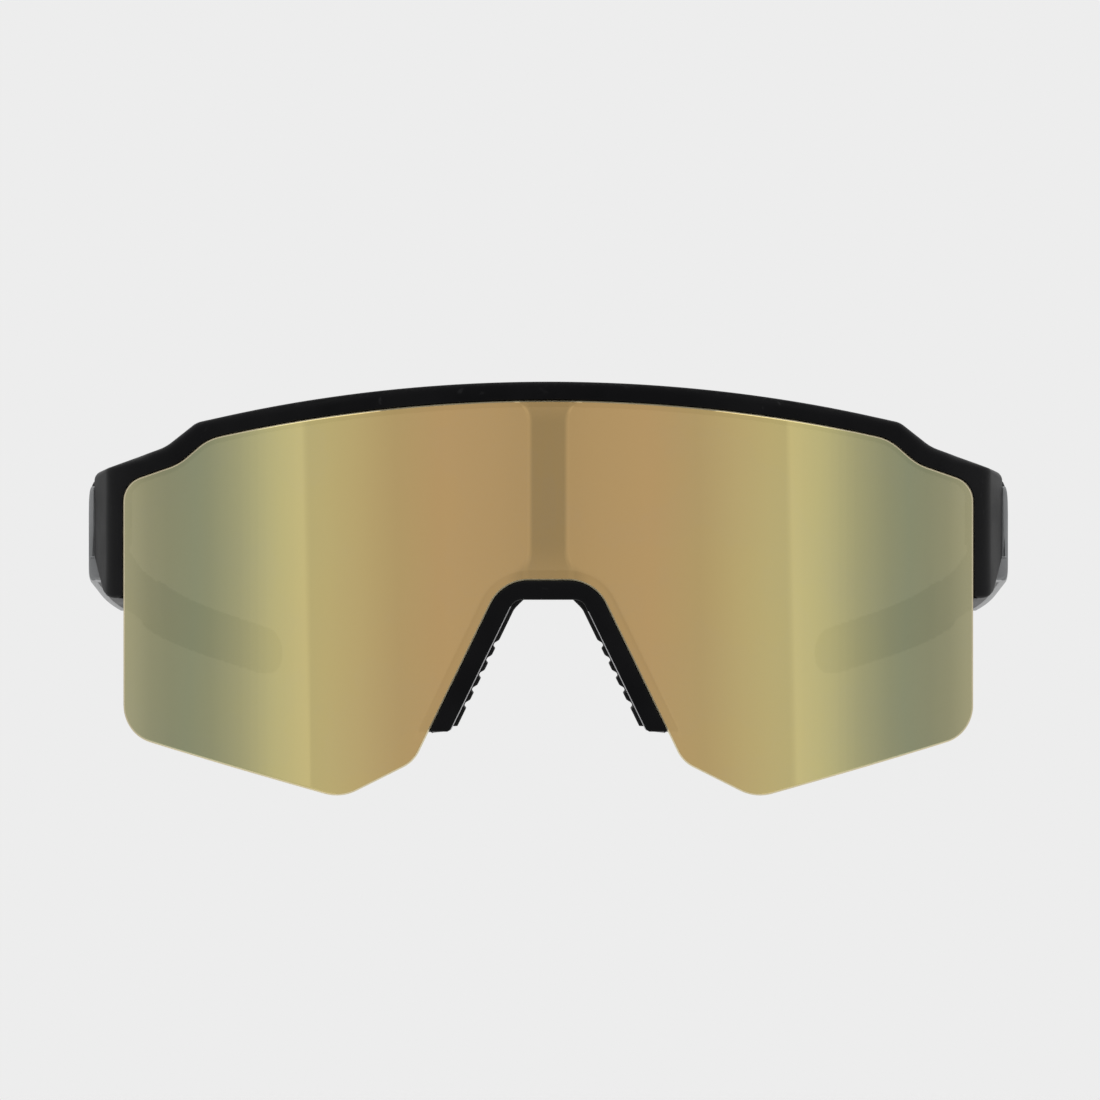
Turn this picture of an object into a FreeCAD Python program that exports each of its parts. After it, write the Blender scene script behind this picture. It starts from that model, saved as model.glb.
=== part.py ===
import FreeCAD, Part

import math
import os
from collections import namedtuple

import Sketcher

# Wraparound sport sunglasses: one cylindrical shield lens in a half frame, a clip-in nose
# bridge with two rubber pads, and two folding temples with trims and rubber grips.
# X runs across the face to the wearer's left, Y runs back to the temple tips and Z runs up.
# While it is drawn, the lens's front apex is at Y 0 and the line of sight at Z 0. At the end
# every piece is placed so that the origin is at the middle of the bottom of the whole object.

DRIVING_SIZES = {
    # Lens: a cylindrical sheet with an upright axis.
    "lens_width": 133.1,
    "lens_wall": 2.2,
    "wrap_radius": 88.0,
    "lens_top": 22.65,
    "brow_radius": 253.7,
    "brow_slope": 11.06,
    "shoulder_inset": 14.0,
    "dip_inset": 9.3,
    "dip_height": 13.34,
    "lens_corner_height": 10.45,
    "shoulder_round": 8.0,
    "dip_round": 9.0,
    "lens_corner_round": 4.0,
    "side_low": 28.8,
    "side_low_round": 5.9,
    "keel_low": 37.9,
    "keel_reach": 11.2,
    "keel_round": 7.0,
    "foot_low": 32.2,
    "foot_round": 5.4,
    # Nose cut-out of the lens.
    "nose_top_low": 4.6,
    "nose_half_width": 7.0,
    "nose_angle": 25.9,
    "nose_round": 6.3,
    # Moulded recess between the two eye panels, and along the nose cut-out.
    "recess_half_width": 2.65,
    "recess_depth": 0.4,
    "recess_margin": 1.4,
    "recess_low": 29.0,
    "panel_round": 2.1,
    # Half frame round the top and the sides of the lens.
    "bar_height": 2.88,
    "frame_proud": 0.2,
    "frame_depth": 5.7,
    "lens_gap": 0.15,
    "seat_gap": 0.06,
    "flange_lap": 1.6,
    "shoulder_out": 1.9,
    "dip_out": 2.25,
    "dip_over": 2.7,
    "frame_dip_round": 8.0,
    "frame_shoulder_round": 3.5,
    "frame_corner_over": 1.55,
    "frame_corner_round": 1.5,
    "side_reach": 5.4,
    "leg_wall": 2.76,
    "leg_low": 7.6,
    "end_low": 0.5,
    "end_sweep": 6.5,
    "end_inner_reach": 2.0,
    # Hinge: two lugs on the frame, a tongue on the temple and a screw down through them.
    "hinge_reach": 1.05,
    "hinge_back": 14.75,
    "hinge_setback": 3.35,
    "hinge_height": 5.55,
    "knuckle_radius": 2.0,
    "tongue_height": 4.3,
    "lug_height": 2.5,
    "hinge_gap": 0.1,
    "screw_radius": 0.7,
    "screw_clearance": 0.05,
    "head_radius": 1.3,
    "head_height": 0.8,
    "slot_width": 0.4,
    "slot_depth": 0.4,
    "insert_radius": 1.2,
    "insert_clearance": 0.02,
    # Temples.
    "fold_clearance": 0.2,
    "stop_gap": 0.15,
    "temple_wall": 3.25,
    "temple_straight": 46.0,
    "temple_middle": 42.5,
    "temple_end": 39.0,
    "first_bend": 8.8,
    "second_bend": 22.6,
    "first_bend_radius": 230.0,
    "second_bend_radius": 130.0,
    "temple_front_top": 11.5,
    "temple_front_low": 4.7,
    "temple_slope": 9.7,
    "temple_taper": 56.0,
    "taper_top_low": 3.2,
    "temple_tail_height": 7.3,
    "taper_round": 60.0,
    "temple_front_round": 1.5,
    "temple_tip_round": 3.4,
    # Trim let into the outside of each temple.
    "trim_proud": 0.25,
    "trim_depth": 1.0,
    "trim_length": 50.0,
    "trim_top_inset": 1.3,
    "trim_tail_low": 7.2,
    "trim_tail_slant": 3.0,
    "trim_gap": 0.05,
    "trim_foot_length": 4.5,
    "trim_foot_height": 3.8,
    "peg_radius": 0.8,
    "peg_length": 1.2,
    "peg_start": 12.0,
    "peg_spacing": 20.0,
    # Rubber grip over the thinner rear core of each temple.
    "grip_start": 70.0,
    "grip_proud": 0.35,
    "grip_wall": 0.9,
    "grip_gap": 0.05,
    "core_stop": 11.0,
    # Nose bridge and pads.
    "bridge_gap": 0.1,
    "bridge_arm": 2.86,
    "bridge_low": 27.6,
    "bridge_depth": 8.0,
    "bridge_end_round": 1.2,
    "bridge_inner_round": 1.8,
    "bridge_flange_lap": 1.5,
    "pad_seat_depth": 1.3,
    "pad_setback": 2.4,
    "pad_gap": 0.05,
    "pad_skin": 0.3,
    "pad_depth": 9.0,
    "pad_top_low": 9.0,
    "pad_foot_low": 26.8,
    "pad_round": 0.6,
    "rib_radius": 0.75,
    "rib_rise": 0.1,
    "rib_low": 15.5,
    "rib_pitch": 2.27,
    "lug_top_low": 23.7,
}
RIB_COUNT = 4
PEG_COUNT = 2

ACROSS = FreeCAD.Vector(1, 0, 0)
BACK = FreeCAD.Vector(0, 1, 0)
UP = FreeCAD.Vector(0, 0, 1)

DRAW_DEPTH = 60.0       # how far the drawn slabs reach past what they trim
TEMPLE_DEPTH = 250.0    # the same for what trims the temples


class Size:
    """A length or angle: its number now, and the sheet expression that it follows."""

    def __init__(self, value, text):
        self.value = float(value)
        self.text = text

    @staticmethod
    def of(other):
        if isinstance(other, Size):
            return other
        return Size(other, repr(float(other)))

    def joined(self, other, sign, value):
        return Size(value, f"({self.text} {sign} {Size.of(other).text})")

    def __add__(self, other):
        return self.joined(other, "+", self.value + Size.of(other).value)

    def __sub__(self, other):
        return self.joined(other, "-", self.value - Size.of(other).value)

    def __mul__(self, other):
        return self.joined(other, "*", self.value * Size.of(other).value)

    def __truediv__(self, other):
        return self.joined(other, "/", self.value / Size.of(other).value)

    def __radd__(self, other):
        return Size.of(other) + self

    def __rsub__(self, other):
        return Size.of(other) - self

    def __rmul__(self, other):
        return Size.of(other) * self

    def __neg__(self):
        return Size.of(0) - self

    def root(self):
        return Size(math.sqrt(self.value), f"sqrt({self.text})")

    def sin(self):
        return Size(math.sin(math.radians(self.value)), f"sin({self.text})")

    def cos(self):
        return Size(math.cos(math.radians(self.value)), f"cos({self.text})")

    def tan(self):
        return Size(math.tan(math.radians(self.value)), f"tan({self.text})")


class Dimensions:
    """The driving sizes, one spreadsheet cell each, read as attributes."""

    def __init__(self, document, sizes):
        self.sheet = document.addObject("Spreadsheet::Sheet", "Dims")
        for row, (alias, value) in enumerate(sizes.items(), start=1):
            self.sheet.set(f"A{row}", alias)
            self.sheet.set(f"B{row}", str(value))
            self.sheet.setAlias(f"B{row}", alias)
            setattr(self, alias, Size(value, f"Dims.{alias}"))
        document.recompute()


Corner = namedtuple("Corner", "across up round")

doc = FreeCAD.newDocument("wraparound_sunglasses")
dims = Dimensions(doc, DRIVING_SIZES)


# ---- Small helpers: one per kind of feature ----

def bind(feature, **sizes):
    """Bind properties of a feature to the sheet."""
    for name, size in sizes.items():
        feature.setExpression(name, Size.of(size).text)


def place(feature, across=0.0, back=0.0, up=0.0):
    """Bind the three coordinates of a feature's position."""
    for axis, size in zip("xyz", (across, back, up)):
        feature.setExpression(f"Placement.Base.{axis}", Size.of(size).text)
    return feature


def origin_plane(body, role):
    """The origin plane of a body with this role, such as XY_Plane."""
    return next(plane for plane in body.Origin.OriginFeatures if plane.Role == role)


def new_sketch(body, name, role):
    """A sketch attached to one of its own body's origin planes."""
    sketch = body.newObject("Sketcher::SketchObject", name)
    sketch.AttachmentSupport = [(origin_plane(body, role), "")]
    sketch.MapMode = "FlatFace"
    return sketch


def corner_arc(before, corner, after, radius):
    """The tangent arc in a corner: its start, its end, its centre and whether it turns left."""
    come = (corner - before).normalize()
    leave = (after - corner).normalize()
    turn = math.atan2(come.cross(leave).z, come.dot(leave))
    run = radius * math.tan(abs(turn) / 2)
    start = corner - come * run
    end = corner + leave * run
    side = FreeCAD.Vector(-come.y, come.x, 0) * math.copysign(radius, turn)
    return start, end, start + side, turn > 0


def constrain_size(sketch, kind, references, size):
    """Add a constraint whose value follows the sheet."""
    index = sketch.addConstraint(Sketcher.Constraint(kind, *references, size.value))
    sketch.setExpression(f"Constraints[{index}]", size.text)


def draw_outline(sketch, corners, mirrored=False):
    """Draw a closed outline through corners, each rounded by its own tangent arc.

    A mirrored outline is given by its half with positive X, from top to bottom. A corner
    with no across lies on the sketch's vertical axis.
    """
    ring = list(corners)
    twins = {}
    if mirrored:
        for index in reversed(range(len(corners))):
            if corners[index].across is not None:
                twins[len(ring)] = index
                ring.append(corners[index])
    points = []
    for index, corner in enumerate(ring):
        across = 0.0 if corner.across is None else corner.across.value
        sign = -1 if index in twins else 1
        points.append(FreeCAD.Vector(sign * across, corner.up.value, 0))
    count = len(ring)
    fillets = {}
    for index, corner in enumerate(ring):
        if corner.round is not None:
            before = points[index - 1]
            after = points[(index + 1) % count]
            fillets[index] = corner_arc(before, points[index], after, corner.round.value)
    lines = []
    for index in range(count):
        following = (index + 1) % count
        start = fillets[index][1] if index in fillets else points[index]
        end = fillets[following][0] if following in fillets else points[following]
        lines.append(sketch.addGeometry(Part.LineSegment(start, end)))
    handles = {}
    arcs = {}
    for index, corner in enumerate(ring):
        arriving = lines[index - 1]
        leaving = lines[index]
        if index not in fillets:
            sketch.addConstraint(Sketcher.Constraint("Coincident", arriving, 2, leaving, 1))
            handles[index] = (leaving, 1)
            continue
        start, end, centre, turns_left = fillets[index]
        circle = Part.Circle(centre, FreeCAD.Vector(0, 0, 1), corner.round.value)
        first, last = (start, end) if turns_left else (end, start)
        angles = [math.atan2(point.y - centre.y, point.x - centre.x) for point in (first, last)]
        arc = sketch.addGeometry(Part.ArcOfCircle(circle, *angles))
        start_vertex, end_vertex = (1, 2) if turns_left else (2, 1)
        sketch.addConstraint(Sketcher.Constraint("Tangent", arriving, 2, arc, start_vertex))
        sketch.addConstraint(Sketcher.Constraint("Tangent", arc, end_vertex, leaving, 1))
        apex = sketch.addGeometry(Part.Point(points[index]), True)
        sketch.addConstraint(Sketcher.Constraint("PointOnObject", apex, 1, arriving))
        sketch.addConstraint(Sketcher.Constraint("PointOnObject", apex, 1, leaving))
        handles[index] = (apex, 1)
        arcs[index] = arc
    for index, corner in enumerate(ring):
        if index in twins:
            twin = twins[index]
            mirror = (*handles[twin], *handles[index], -2)
            sketch.addConstraint(Sketcher.Constraint("Symmetric", *mirror))
            if index in arcs:
                sketch.addConstraint(Sketcher.Constraint("Equal", arcs[twin], arcs[index]))
            continue
        if corner.across is None:
            sketch.addConstraint(Sketcher.Constraint("PointOnObject", *handles[index], -2))
        else:
            constrain_size(sketch, "DistanceX", handles[index], corner.across)
        constrain_size(sketch, "DistanceY", handles[index], corner.up)
        if index in arcs:
            constrain_size(sketch, "Radius", (arcs[index],), corner.round)


def outline(name, role, corners, mirrored=False):
    """A body that holds one outline sketch, to be extruded in several ways."""
    body = doc.addObject("PartDesign::Body", f"{name}_layout")
    sketch = new_sketch(body, f"{name}_outline", role)
    draw_outline(sketch, corners, mirrored)
    return sketch


def offset(name, source, distance):
    """An outline moved outwards by a distance, or inwards by a negative one."""
    feature = doc.addObject("Part::Offset2D", f"{name}_offset")
    feature.Source = source
    feature.Join = "Intersection"
    bind(feature, Value=distance)
    return feature


def slab(name, base, direction, ahead, behind=0.0):
    """A solid swept from a flat outline, ahead along a direction and behind it."""
    feature = doc.addObject("Part::Extrusion", f"{name}_slab")
    feature.Base = base
    feature.DirMode = "Custom"
    feature.Dir = direction
    feature.Solid = True
    bind(feature, LengthFwd=ahead, LengthRev=behind)
    return feature


def box(name, low, high):
    """A box between two corners given by sizes."""
    feature = doc.addObject("Part::Box", name)
    for prop, near, far in zip(("Length", "Width", "Height"), low, high):
        bind(feature, **{prop: Size.of(far) - near})
    return place(feature, *low)


def cylinder(name, radius, low, high, across=0.0, back=0.0):
    """An upright cylinder between two heights."""
    feature = doc.addObject("Part::Cylinder", name)
    bind(feature, Radius=radius, Height=Size.of(high) - low)
    return place(feature, across, back, low)


def side_peg(name, radius, inner, outer, back, up):
    """A cylinder lying along X between two distances from the middle plane."""
    feature = doc.addObject("Part::Cylinder", name)
    feature.Placement = FreeCAD.Placement(FreeCAD.Vector(), FreeCAD.Rotation(BACK, 90))
    bind(feature, Radius=radius, Height=outer - inner)
    return place(feature, inner, back, up)


def depth_rib(name, radius, length, across, up):
    """A cylinder lying along Y from the lens's front plane backwards."""
    feature = doc.addObject("Part::Cylinder", name)
    feature.Placement = FreeCAD.Placement(FreeCAD.Vector(), FreeCAD.Rotation(ACROSS, -90))
    bind(feature, Radius=radius, Height=length)
    return place(feature, across, 0.0, up)


def cut(name, base, *tools):
    """The base with every tool taken away."""
    for number, tool in enumerate(tools, start=1):
        feature = doc.addObject("Part::Cut", name if number == len(tools) else f"{name}_cut_{number}")
        feature.Base = base
        feature.Tool = tool
        base = feature
    return base


def common(name, *shapes):
    """What all the shapes share."""
    feature = doc.addObject("Part::MultiCommon", name)
    feature.Shapes = list(shapes)
    return feature


def fuse(name, *shapes):
    """All the shapes joined into one."""
    feature = doc.addObject("Part::MultiFuse", name)
    feature.Shapes = list(shapes)
    feature.Refine = True
    return feature


def mirror(name, source):
    """The same piece on the other side of the middle plane."""
    feature = doc.addObject("Part::Mirroring", name)
    feature.Source = source
    feature.Normal = FreeCAD.Vector(1, 0, 0)
    feature.Base = FreeCAD.Vector(0, 0, 0)
    return feature


# ---- Places that several pieces share ----

lens_edge = dims.lens_width / 2
lens_edge_back = dims.wrap_radius - (dims.wrap_radius * dims.wrap_radius - lens_edge * lens_edge).root()
hinge_across = lens_edge + dims.hinge_reach
hinge_back = lens_edge_back + dims.hinge_back
frame_back = hinge_back - dims.hinge_setback
temple_front = frame_back + dims.stop_gap
temple_inner = hinge_across + dims.knuckle_radius + dims.fold_clearance
temple_outer = temple_inner + dims.temple_wall
bend_two_back = temple_front + dims.temple_straight + dims.temple_middle * dims.first_bend.cos()
temple_tip = bend_two_back + dims.temple_end * dims.second_bend.cos()
underside_drop = dims.taper_top_low + dims.temple_tail_height - dims.temple_front_low
underside_fall = underside_drop / dims.temple_taper
tongue_low = dims.hinge_height - dims.tongue_height / 2
tongue_high = dims.hinge_height + dims.tongue_height / 2
lower_lug_high = tongue_low - dims.hinge_gap
lower_lug_low = lower_lug_high - dims.lug_height
upper_lug_low = tongue_high + dims.hinge_gap
upper_lug_high = upper_lug_low + dims.lug_height
head_seat = upper_lug_high - dims.head_height


def brow_apex(rise, spread):
    """Where the two straight shoulders of a brow line would meet, above its arc."""
    radius = dims.brow_radius + spread
    return dims.lens_top + rise + radius / dims.brow_slope.cos() - radius


def nose_across(low, inset):
    """How far out the side of the nose cut-out is, at a depth below the line of sight."""
    spread = (low - dims.nose_top_low) * dims.nose_angle.tan()
    return dims.nose_half_width + spread - inset / dims.nose_angle.cos()


def nose_corner(inset, round_size):
    """The upper corner of the nose cut-out, moved into the cut-out by an inset."""
    low = dims.nose_top_low + inset
    return Corner(nose_across(low, inset), -low, round_size)


def nose_side(low, inset, round_size=None):
    """A corner on the side of the nose cut-out, moved into the cut-out by an inset."""
    return Corner(nose_across(low, inset), -low, round_size)


def shell(name, outside, thickness):
    """A round wall about the lens's own axis, with its outside so far proud of the lens."""
    outer_radius = dims.wrap_radius + outside
    reach = Size.of(DRAW_DEPTH)
    outer = cylinder(f"{name}_outer", outer_radius, -reach, reach, 0.0, dims.wrap_radius)
    inner = cylinder(f"{name}_inner", outer_radius - thickness, -reach, reach, 0.0, dims.wrap_radius)
    return cut(f"{name}_wall", outer, inner)


# ---- Shield lens ----

def lens_outline():
    apex = brow_apex(0.0, 0.0)
    shoulder = lens_edge - dims.shoulder_inset
    foot = nose_side(dims.foot_low, Size.of(0), dims.foot_round)
    corners = (
        Corner(None, apex, dims.brow_radius),
        Corner(shoulder, apex - shoulder * dims.brow_slope.tan(), dims.shoulder_round),
        Corner(lens_edge - dims.dip_inset, dims.dip_height, dims.dip_round),
        Corner(lens_edge, dims.lens_corner_height, dims.lens_corner_round),
        Corner(lens_edge, -dims.side_low, dims.side_low_round),
        Corner(foot.across + dims.keel_reach, -dims.keel_low, dims.keel_round),
        foot,
        nose_corner(Size.of(0), dims.nose_round),
    )
    return outline("lens", "XZ_Plane", corners, mirrored=True)


def lens_recess():
    """The shallow channel between the eye panels, which follows the nose cut-out down."""
    wide = dims.recess_half_width + 2 * dims.panel_round
    margin = -dims.recess_margin
    inside = 2 * dims.recess_margin
    corners = (
        Corner(wide, dims.lens_top + dims.panel_round, None),
        Corner(wide, dims.lens_top, None),
        Corner(dims.recess_half_width, dims.lens_top, dims.panel_round),
        Corner(dims.recess_half_width, dims.recess_margin - dims.nose_top_low, dims.panel_round),
        nose_corner(margin, dims.nose_round + dims.recess_margin),
        nose_side(dims.recess_low, margin),
        nose_side(dims.recess_low, inside),
        nose_corner(inside, None),
    )
    sketch = outline("recess", "XZ_Plane", corners, mirrored=True)
    floor = shell("recess", dims.recess_depth, 2 * dims.recess_depth)
    return common("recess_tool", slab("recess", sketch, BACK, DRAW_DEPTH, DRAW_DEPTH), floor)


def make_lens(sketch):
    blank = slab("lens", sketch, BACK, DRAW_DEPTH, DRAW_DEPTH)
    sheet = common("lens_sheet", blank, shell("lens", 0.0, dims.lens_wall))
    return cut("shield_lens", sheet, lens_recess())


# ---- Half frame ----

def frame_front():
    """The front silhouette of the frame, with its underside across the lens."""
    apex = brow_apex(dims.bar_height, dims.bar_height)
    shoulder = lens_edge - dims.shoulder_inset + dims.shoulder_out
    corner_across = lens_edge + dims.side_reach
    dip = lens_edge - dims.dip_inset + dims.dip_out
    leg_inner = lens_edge - 2 * dims.leg_wall
    corners = (
        Corner(None, apex, dims.brow_radius + dims.bar_height),
        Corner(shoulder, apex - shoulder * dims.brow_slope.tan(), dims.frame_shoulder_round),
        Corner(dip, dims.dip_height + dims.dip_over, dims.frame_dip_round),
        Corner(corner_across, dims.lens_corner_height + dims.frame_corner_over, dims.frame_corner_round),
        Corner(corner_across, -dims.leg_low, None),
        Corner(leg_inner, -dims.leg_low, None),
        Corner(leg_inner, Size.of(0), None),
    )
    sketch = outline("frame_front", "XZ_Plane", corners, mirrored=True)
    return slab("frame_front", sketch, BACK, frame_back, DRAW_DEPTH)


def frame_side():
    """The side silhouette of the frame: its underside sweeps up towards the hinge."""
    sweep_start = frame_back - dims.end_sweep
    reach = Size.of(DRAW_DEPTH)
    corners = (
        Corner(-reach, reach, None),
        Corner(frame_back, reach, None),
        Corner(frame_back, -dims.end_low, None),
        Corner(sweep_start, -dims.leg_low, dims.end_sweep / 2),
        Corner(-reach, -dims.leg_low, None),
    )
    sketch = outline("frame_side", "YZ_Plane", corners)
    return slab("frame_side", sketch, ACROSS, 2 * reach, 2 * reach)


def end_block():
    """The plan of the left end piece, from the front leg back to the hinge face."""
    leg = lens_edge + dims.leg_wall
    outer = dims.wrap_radius + dims.frame_proud
    leg_back = dims.wrap_radius - (outer * outer - leg * leg).root()
    inner_across = hinge_across - dims.knuckle_radius - dims.end_inner_reach / 2
    corners = (
        Corner(leg, leg_back, None),
        Corner(lens_edge + dims.side_reach, frame_back, None),
        Corner(inner_across, frame_back, None),
        Corner(inner_across - dims.end_inner_reach, lens_edge_back + dims.lens_wall, None),
        Corner(lens_edge, lens_edge_back + dims.lens_wall, None),
    )
    sketch = outline("end_piece", "XY_Plane", corners)
    return slab("end_piece", sketch, UP, DRAW_DEPTH, DRAW_DEPTH)


def lug(name, low, high):
    """One hinge lug of the frame: a root from the end piece and a round knuckle."""
    root_low = (hinge_across - dims.knuckle_radius, frame_back - dims.knuckle_radius, low)
    root_high = (hinge_across + dims.knuckle_radius, hinge_back, high)
    knuckle = cylinder(f"{name}_knuckle", dims.knuckle_radius, low, high, hinge_across, hinge_back)
    return fuse(name, box(f"{name}_root", root_low, root_high), knuckle)


def hinge_bore(name, radius, low, high):
    """A round cutter on the hinge axis."""
    return cylinder(name, radius, low, high, hinge_across, hinge_back)


def make_frame(lens_sketch):
    wall = shell("frame", dims.frame_proud, dims.frame_depth)
    leg_face = lens_edge + dims.leg_wall
    leg_low = (-leg_face, -DRAW_DEPTH, -DRAW_DEPTH)
    leg_high = (leg_face, DRAW_DEPTH, DRAW_DEPTH)
    band = common("frame_band", wall, box("leg_limit", leg_low, leg_high))
    left_end = end_block()
    plan = fuse("frame_plan", band, left_end, mirror("end_piece_twin", left_end))
    blank = common("frame_blank", plan, frame_front(), frame_side())
    pocket_outline = offset("lens_pocket", lens_sketch, dims.lens_gap)
    pocket_slab = slab("pocket", pocket_outline, BACK, DRAW_DEPTH, DRAW_DEPTH)
    pocket_room = shell("pocket", dims.lens_wall, 2 * dims.lens_wall + dims.seat_gap)
    pocket = common("lens_pocket", pocket_slab, pocket_room)
    window_outline = offset("window", lens_sketch, -dims.flange_lap)
    window = slab("window", window_outline, BACK, DRAW_DEPTH, DRAW_DEPTH)
    hollow = cut("frame_hollow", blank, pocket, window)
    lower = lug("lower_lug", lower_lug_low, lower_lug_high)
    upper = lug("upper_lug", upper_lug_low, upper_lug_high)
    lower_twin = mirror("lower_lug_twin", lower)
    upper_twin = mirror("upper_lug_twin", upper)
    lugged = fuse("frame_lugged", hollow, lower, upper, lower_twin, upper_twin)
    screw_bore = dims.screw_radius + dims.screw_clearance
    head_bore = dims.head_radius + dims.screw_clearance
    insert_bore = dims.insert_radius + dims.insert_clearance
    bores = (
        hinge_bore("upper_lug_bore", screw_bore, upper_lug_low, upper_lug_high),
        hinge_bore("head_bore", head_bore, head_seat, upper_lug_high),
        hinge_bore("insert_bore", insert_bore, lower_lug_low, lower_lug_high),
    )
    twins = [mirror(f"{bore.Name}_twin", bore) for bore in bores]
    return cut("brow_frame", lugged, *bores, *twins)


# ---- Nose bridge ----

def bridge_slab(name, outer_inset, round_size):
    """An upside-down U that follows the nose cut-out, from an inset to its inner edge."""
    inner_inset = dims.bridge_gap + dims.bridge_arm
    corners = (
        nose_corner(outer_inset, round_size),
        nose_side(dims.bridge_low, outer_inset, dims.bridge_end_round),
        nose_side(dims.bridge_low, inner_inset, dims.bridge_end_round),
        nose_corner(inner_inset, dims.bridge_inner_round),
    )
    sketch = outline(name, "XZ_Plane", corners, mirrored=True)
    return slab(name, sketch, BACK, DRAW_DEPTH, DRAW_DEPTH)


def make_bridge(pad_seat):
    arch = bridge_slab("bridge_arch", dims.bridge_gap, dims.nose_round - dims.bridge_gap)
    front = common("bridge_front", arch, shell("bridge", 0.0, dims.bridge_depth))
    behind = dims.lens_wall + dims.seat_gap
    flange_round = dims.nose_round + dims.bridge_flange_lap
    wide_arch = bridge_slab("bridge_flange", -dims.bridge_flange_lap, flange_round)
    flange = common("bridge_flange", wide_arch, shell("bridge_back", -behind, dims.bridge_depth - behind))
    blank = fuse("bridge_blank", front, flange)
    return cut("nose_bridge", blank, pad_seat, mirror("pad_seat_twin", pad_seat))


# ---- Nose pads ----

def pad_profile(name, outer_inset, inner_inset, top_low, foot_low, round_size):
    """A strip along the left arm of the bridge, between two insets and two depths."""
    corners = (
        nose_side(top_low, outer_inset),
        nose_side(foot_low, outer_inset),
        nose_side(foot_low, inner_inset, round_size),
        nose_side(top_low, inner_inset, round_size),
    )
    sketch = outline(name, "XZ_Plane", corners)
    return slab(name, sketch, BACK, DRAW_DEPTH, DRAW_DEPTH)


def make_pad_seat():
    """The cutter for the rebate of a pad in the bridge's left arm, with the pad's clearance."""
    arm_face = dims.bridge_gap + dims.bridge_arm
    floor = arm_face - dims.pad_seat_depth - dims.pad_gap
    top_low = dims.pad_top_low - dims.pad_gap
    foot_low = dims.pad_foot_low + dims.pad_gap
    strip = pad_profile("pad_seat", floor, arm_face + dims.pad_seat_depth, top_low, foot_low, None)
    room = shell("pad_seat", dims.pad_gap - dims.pad_setback, dims.wrap_radius / 2)
    return common("pad_seat_tool", strip, room)


def make_pad():
    """The left pad: a strip with round ribs across it and a longer lug at its foot."""
    arm_face = dims.bridge_gap + dims.bridge_arm
    floor = arm_face - dims.pad_seat_depth
    skin = arm_face + dims.pad_skin
    crest = arm_face + dims.rib_rise
    strip = pad_profile("pad_strip", floor, skin, dims.pad_top_low, dims.pad_foot_low, dims.pad_skin)
    lug_face = crest + dims.rib_radius
    lug_pad = pad_profile("pad_lug", floor, lug_face, dims.lug_top_low, dims.pad_foot_low, dims.pad_round)
    ribs = []
    for number in range(RIB_COUNT):
        low = dims.rib_low + number * dims.rib_pitch
        across = nose_across(low, crest)
        ribs.append(depth_rib(f"pad_rib_{number + 1}", dims.rib_radius, Size.of(DRAW_DEPTH), across, -low))
    blank = fuse("pad_blank", strip, lug_pad, *ribs)
    return common("nose_pad_left", blank, shell("pad", -dims.pad_setback, dims.pad_depth))


# ---- Hinge screws and inserts ----

def make_screw():
    """The left hinge screw: a shaft, a flat head and a driver slot."""
    shaft = hinge_bore("screw_shaft", dims.screw_radius, lower_lug_low, head_seat)
    head_top = head_seat + dims.head_height
    head = hinge_bore("screw_head", dims.head_radius, head_seat, head_top)
    half_slot = dims.slot_width / 2
    slot_low = (hinge_across - dims.head_radius, hinge_back - half_slot, head_top - dims.slot_depth)
    slot_high = (hinge_across + dims.head_radius, hinge_back + half_slot, head_top + dims.slot_depth)
    return cut("hinge_screw_left", fuse("screw_blank", shaft, head), box("screw_slot", slot_low, slot_high))


def make_insert():
    """The left threaded insert in the lower lug."""
    barrel = hinge_bore("insert_barrel", dims.insert_radius, lower_lug_low, lower_lug_high)
    thread_radius = dims.screw_radius + dims.insert_clearance
    bore = hinge_bore("insert_thread", thread_radius, lower_lug_low, lower_lug_high)
    return cut("hinge_insert_left", barrel, bore)


# ---- Temples ----

def temple_plan(name, growth):
    """The plan of the left temple, grown or shrunk all round: three straight runs and two wide bends."""
    first = dims.first_bend
    second = dims.second_bend
    half_first = (first / 2).tan()
    half_step = ((second - first) / 2).tan()
    bend_one_back = temple_front + dims.temple_straight
    bend_two_across = temple_outer - dims.temple_middle * first.sin()
    tip_across = bend_two_across - dims.temple_end * second.sin() - growth * second.sin()
    tip_back = temple_tip + growth * second.cos()
    sides = []
    for depth in (-growth, growth + dims.temple_wall):
        two_across = bend_two_across - depth * (first.cos() - first.sin() * half_step)
        two_back = bend_two_back - depth * (first.sin() + first.cos() * half_step)
        sides.append([
            Corner(temple_outer - depth, temple_front - growth, None),
            Corner(temple_outer - depth, bend_one_back - depth * half_first, dims.first_bend_radius - depth),
            Corner(two_across, two_back, dims.second_bend_radius - depth),
            Corner(tip_across - depth * second.cos(), tip_back - depth * second.sin(), None),
        ])
    outer_side, inner_side = sides
    return outline(name, "XY_Plane", outer_side + inner_side[::-1])


def temple_side():
    """The side silhouette of a temple: tall at the hinge, slender and sloping behind."""
    taper_back = temple_front + dims.temple_taper
    tip_drop = (temple_tip - taper_back) * dims.temple_slope.tan()
    tip_top = -dims.taper_top_low - tip_drop
    corners = (
        Corner(temple_front, dims.temple_front_top, dims.temple_front_round),
        Corner(taper_back, -dims.taper_top_low, dims.taper_round),
        Corner(temple_tip, tip_top, dims.temple_tip_round),
        Corner(temple_tip, tip_top - dims.temple_tail_height, dims.temple_tip_round),
        Corner(taper_back, -(dims.taper_top_low + dims.temple_tail_height), dims.taper_round),
        Corner(temple_front, -dims.temple_front_low, dims.temple_front_round),
    )
    return outline("temple_side", "YZ_Plane", corners)


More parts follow.
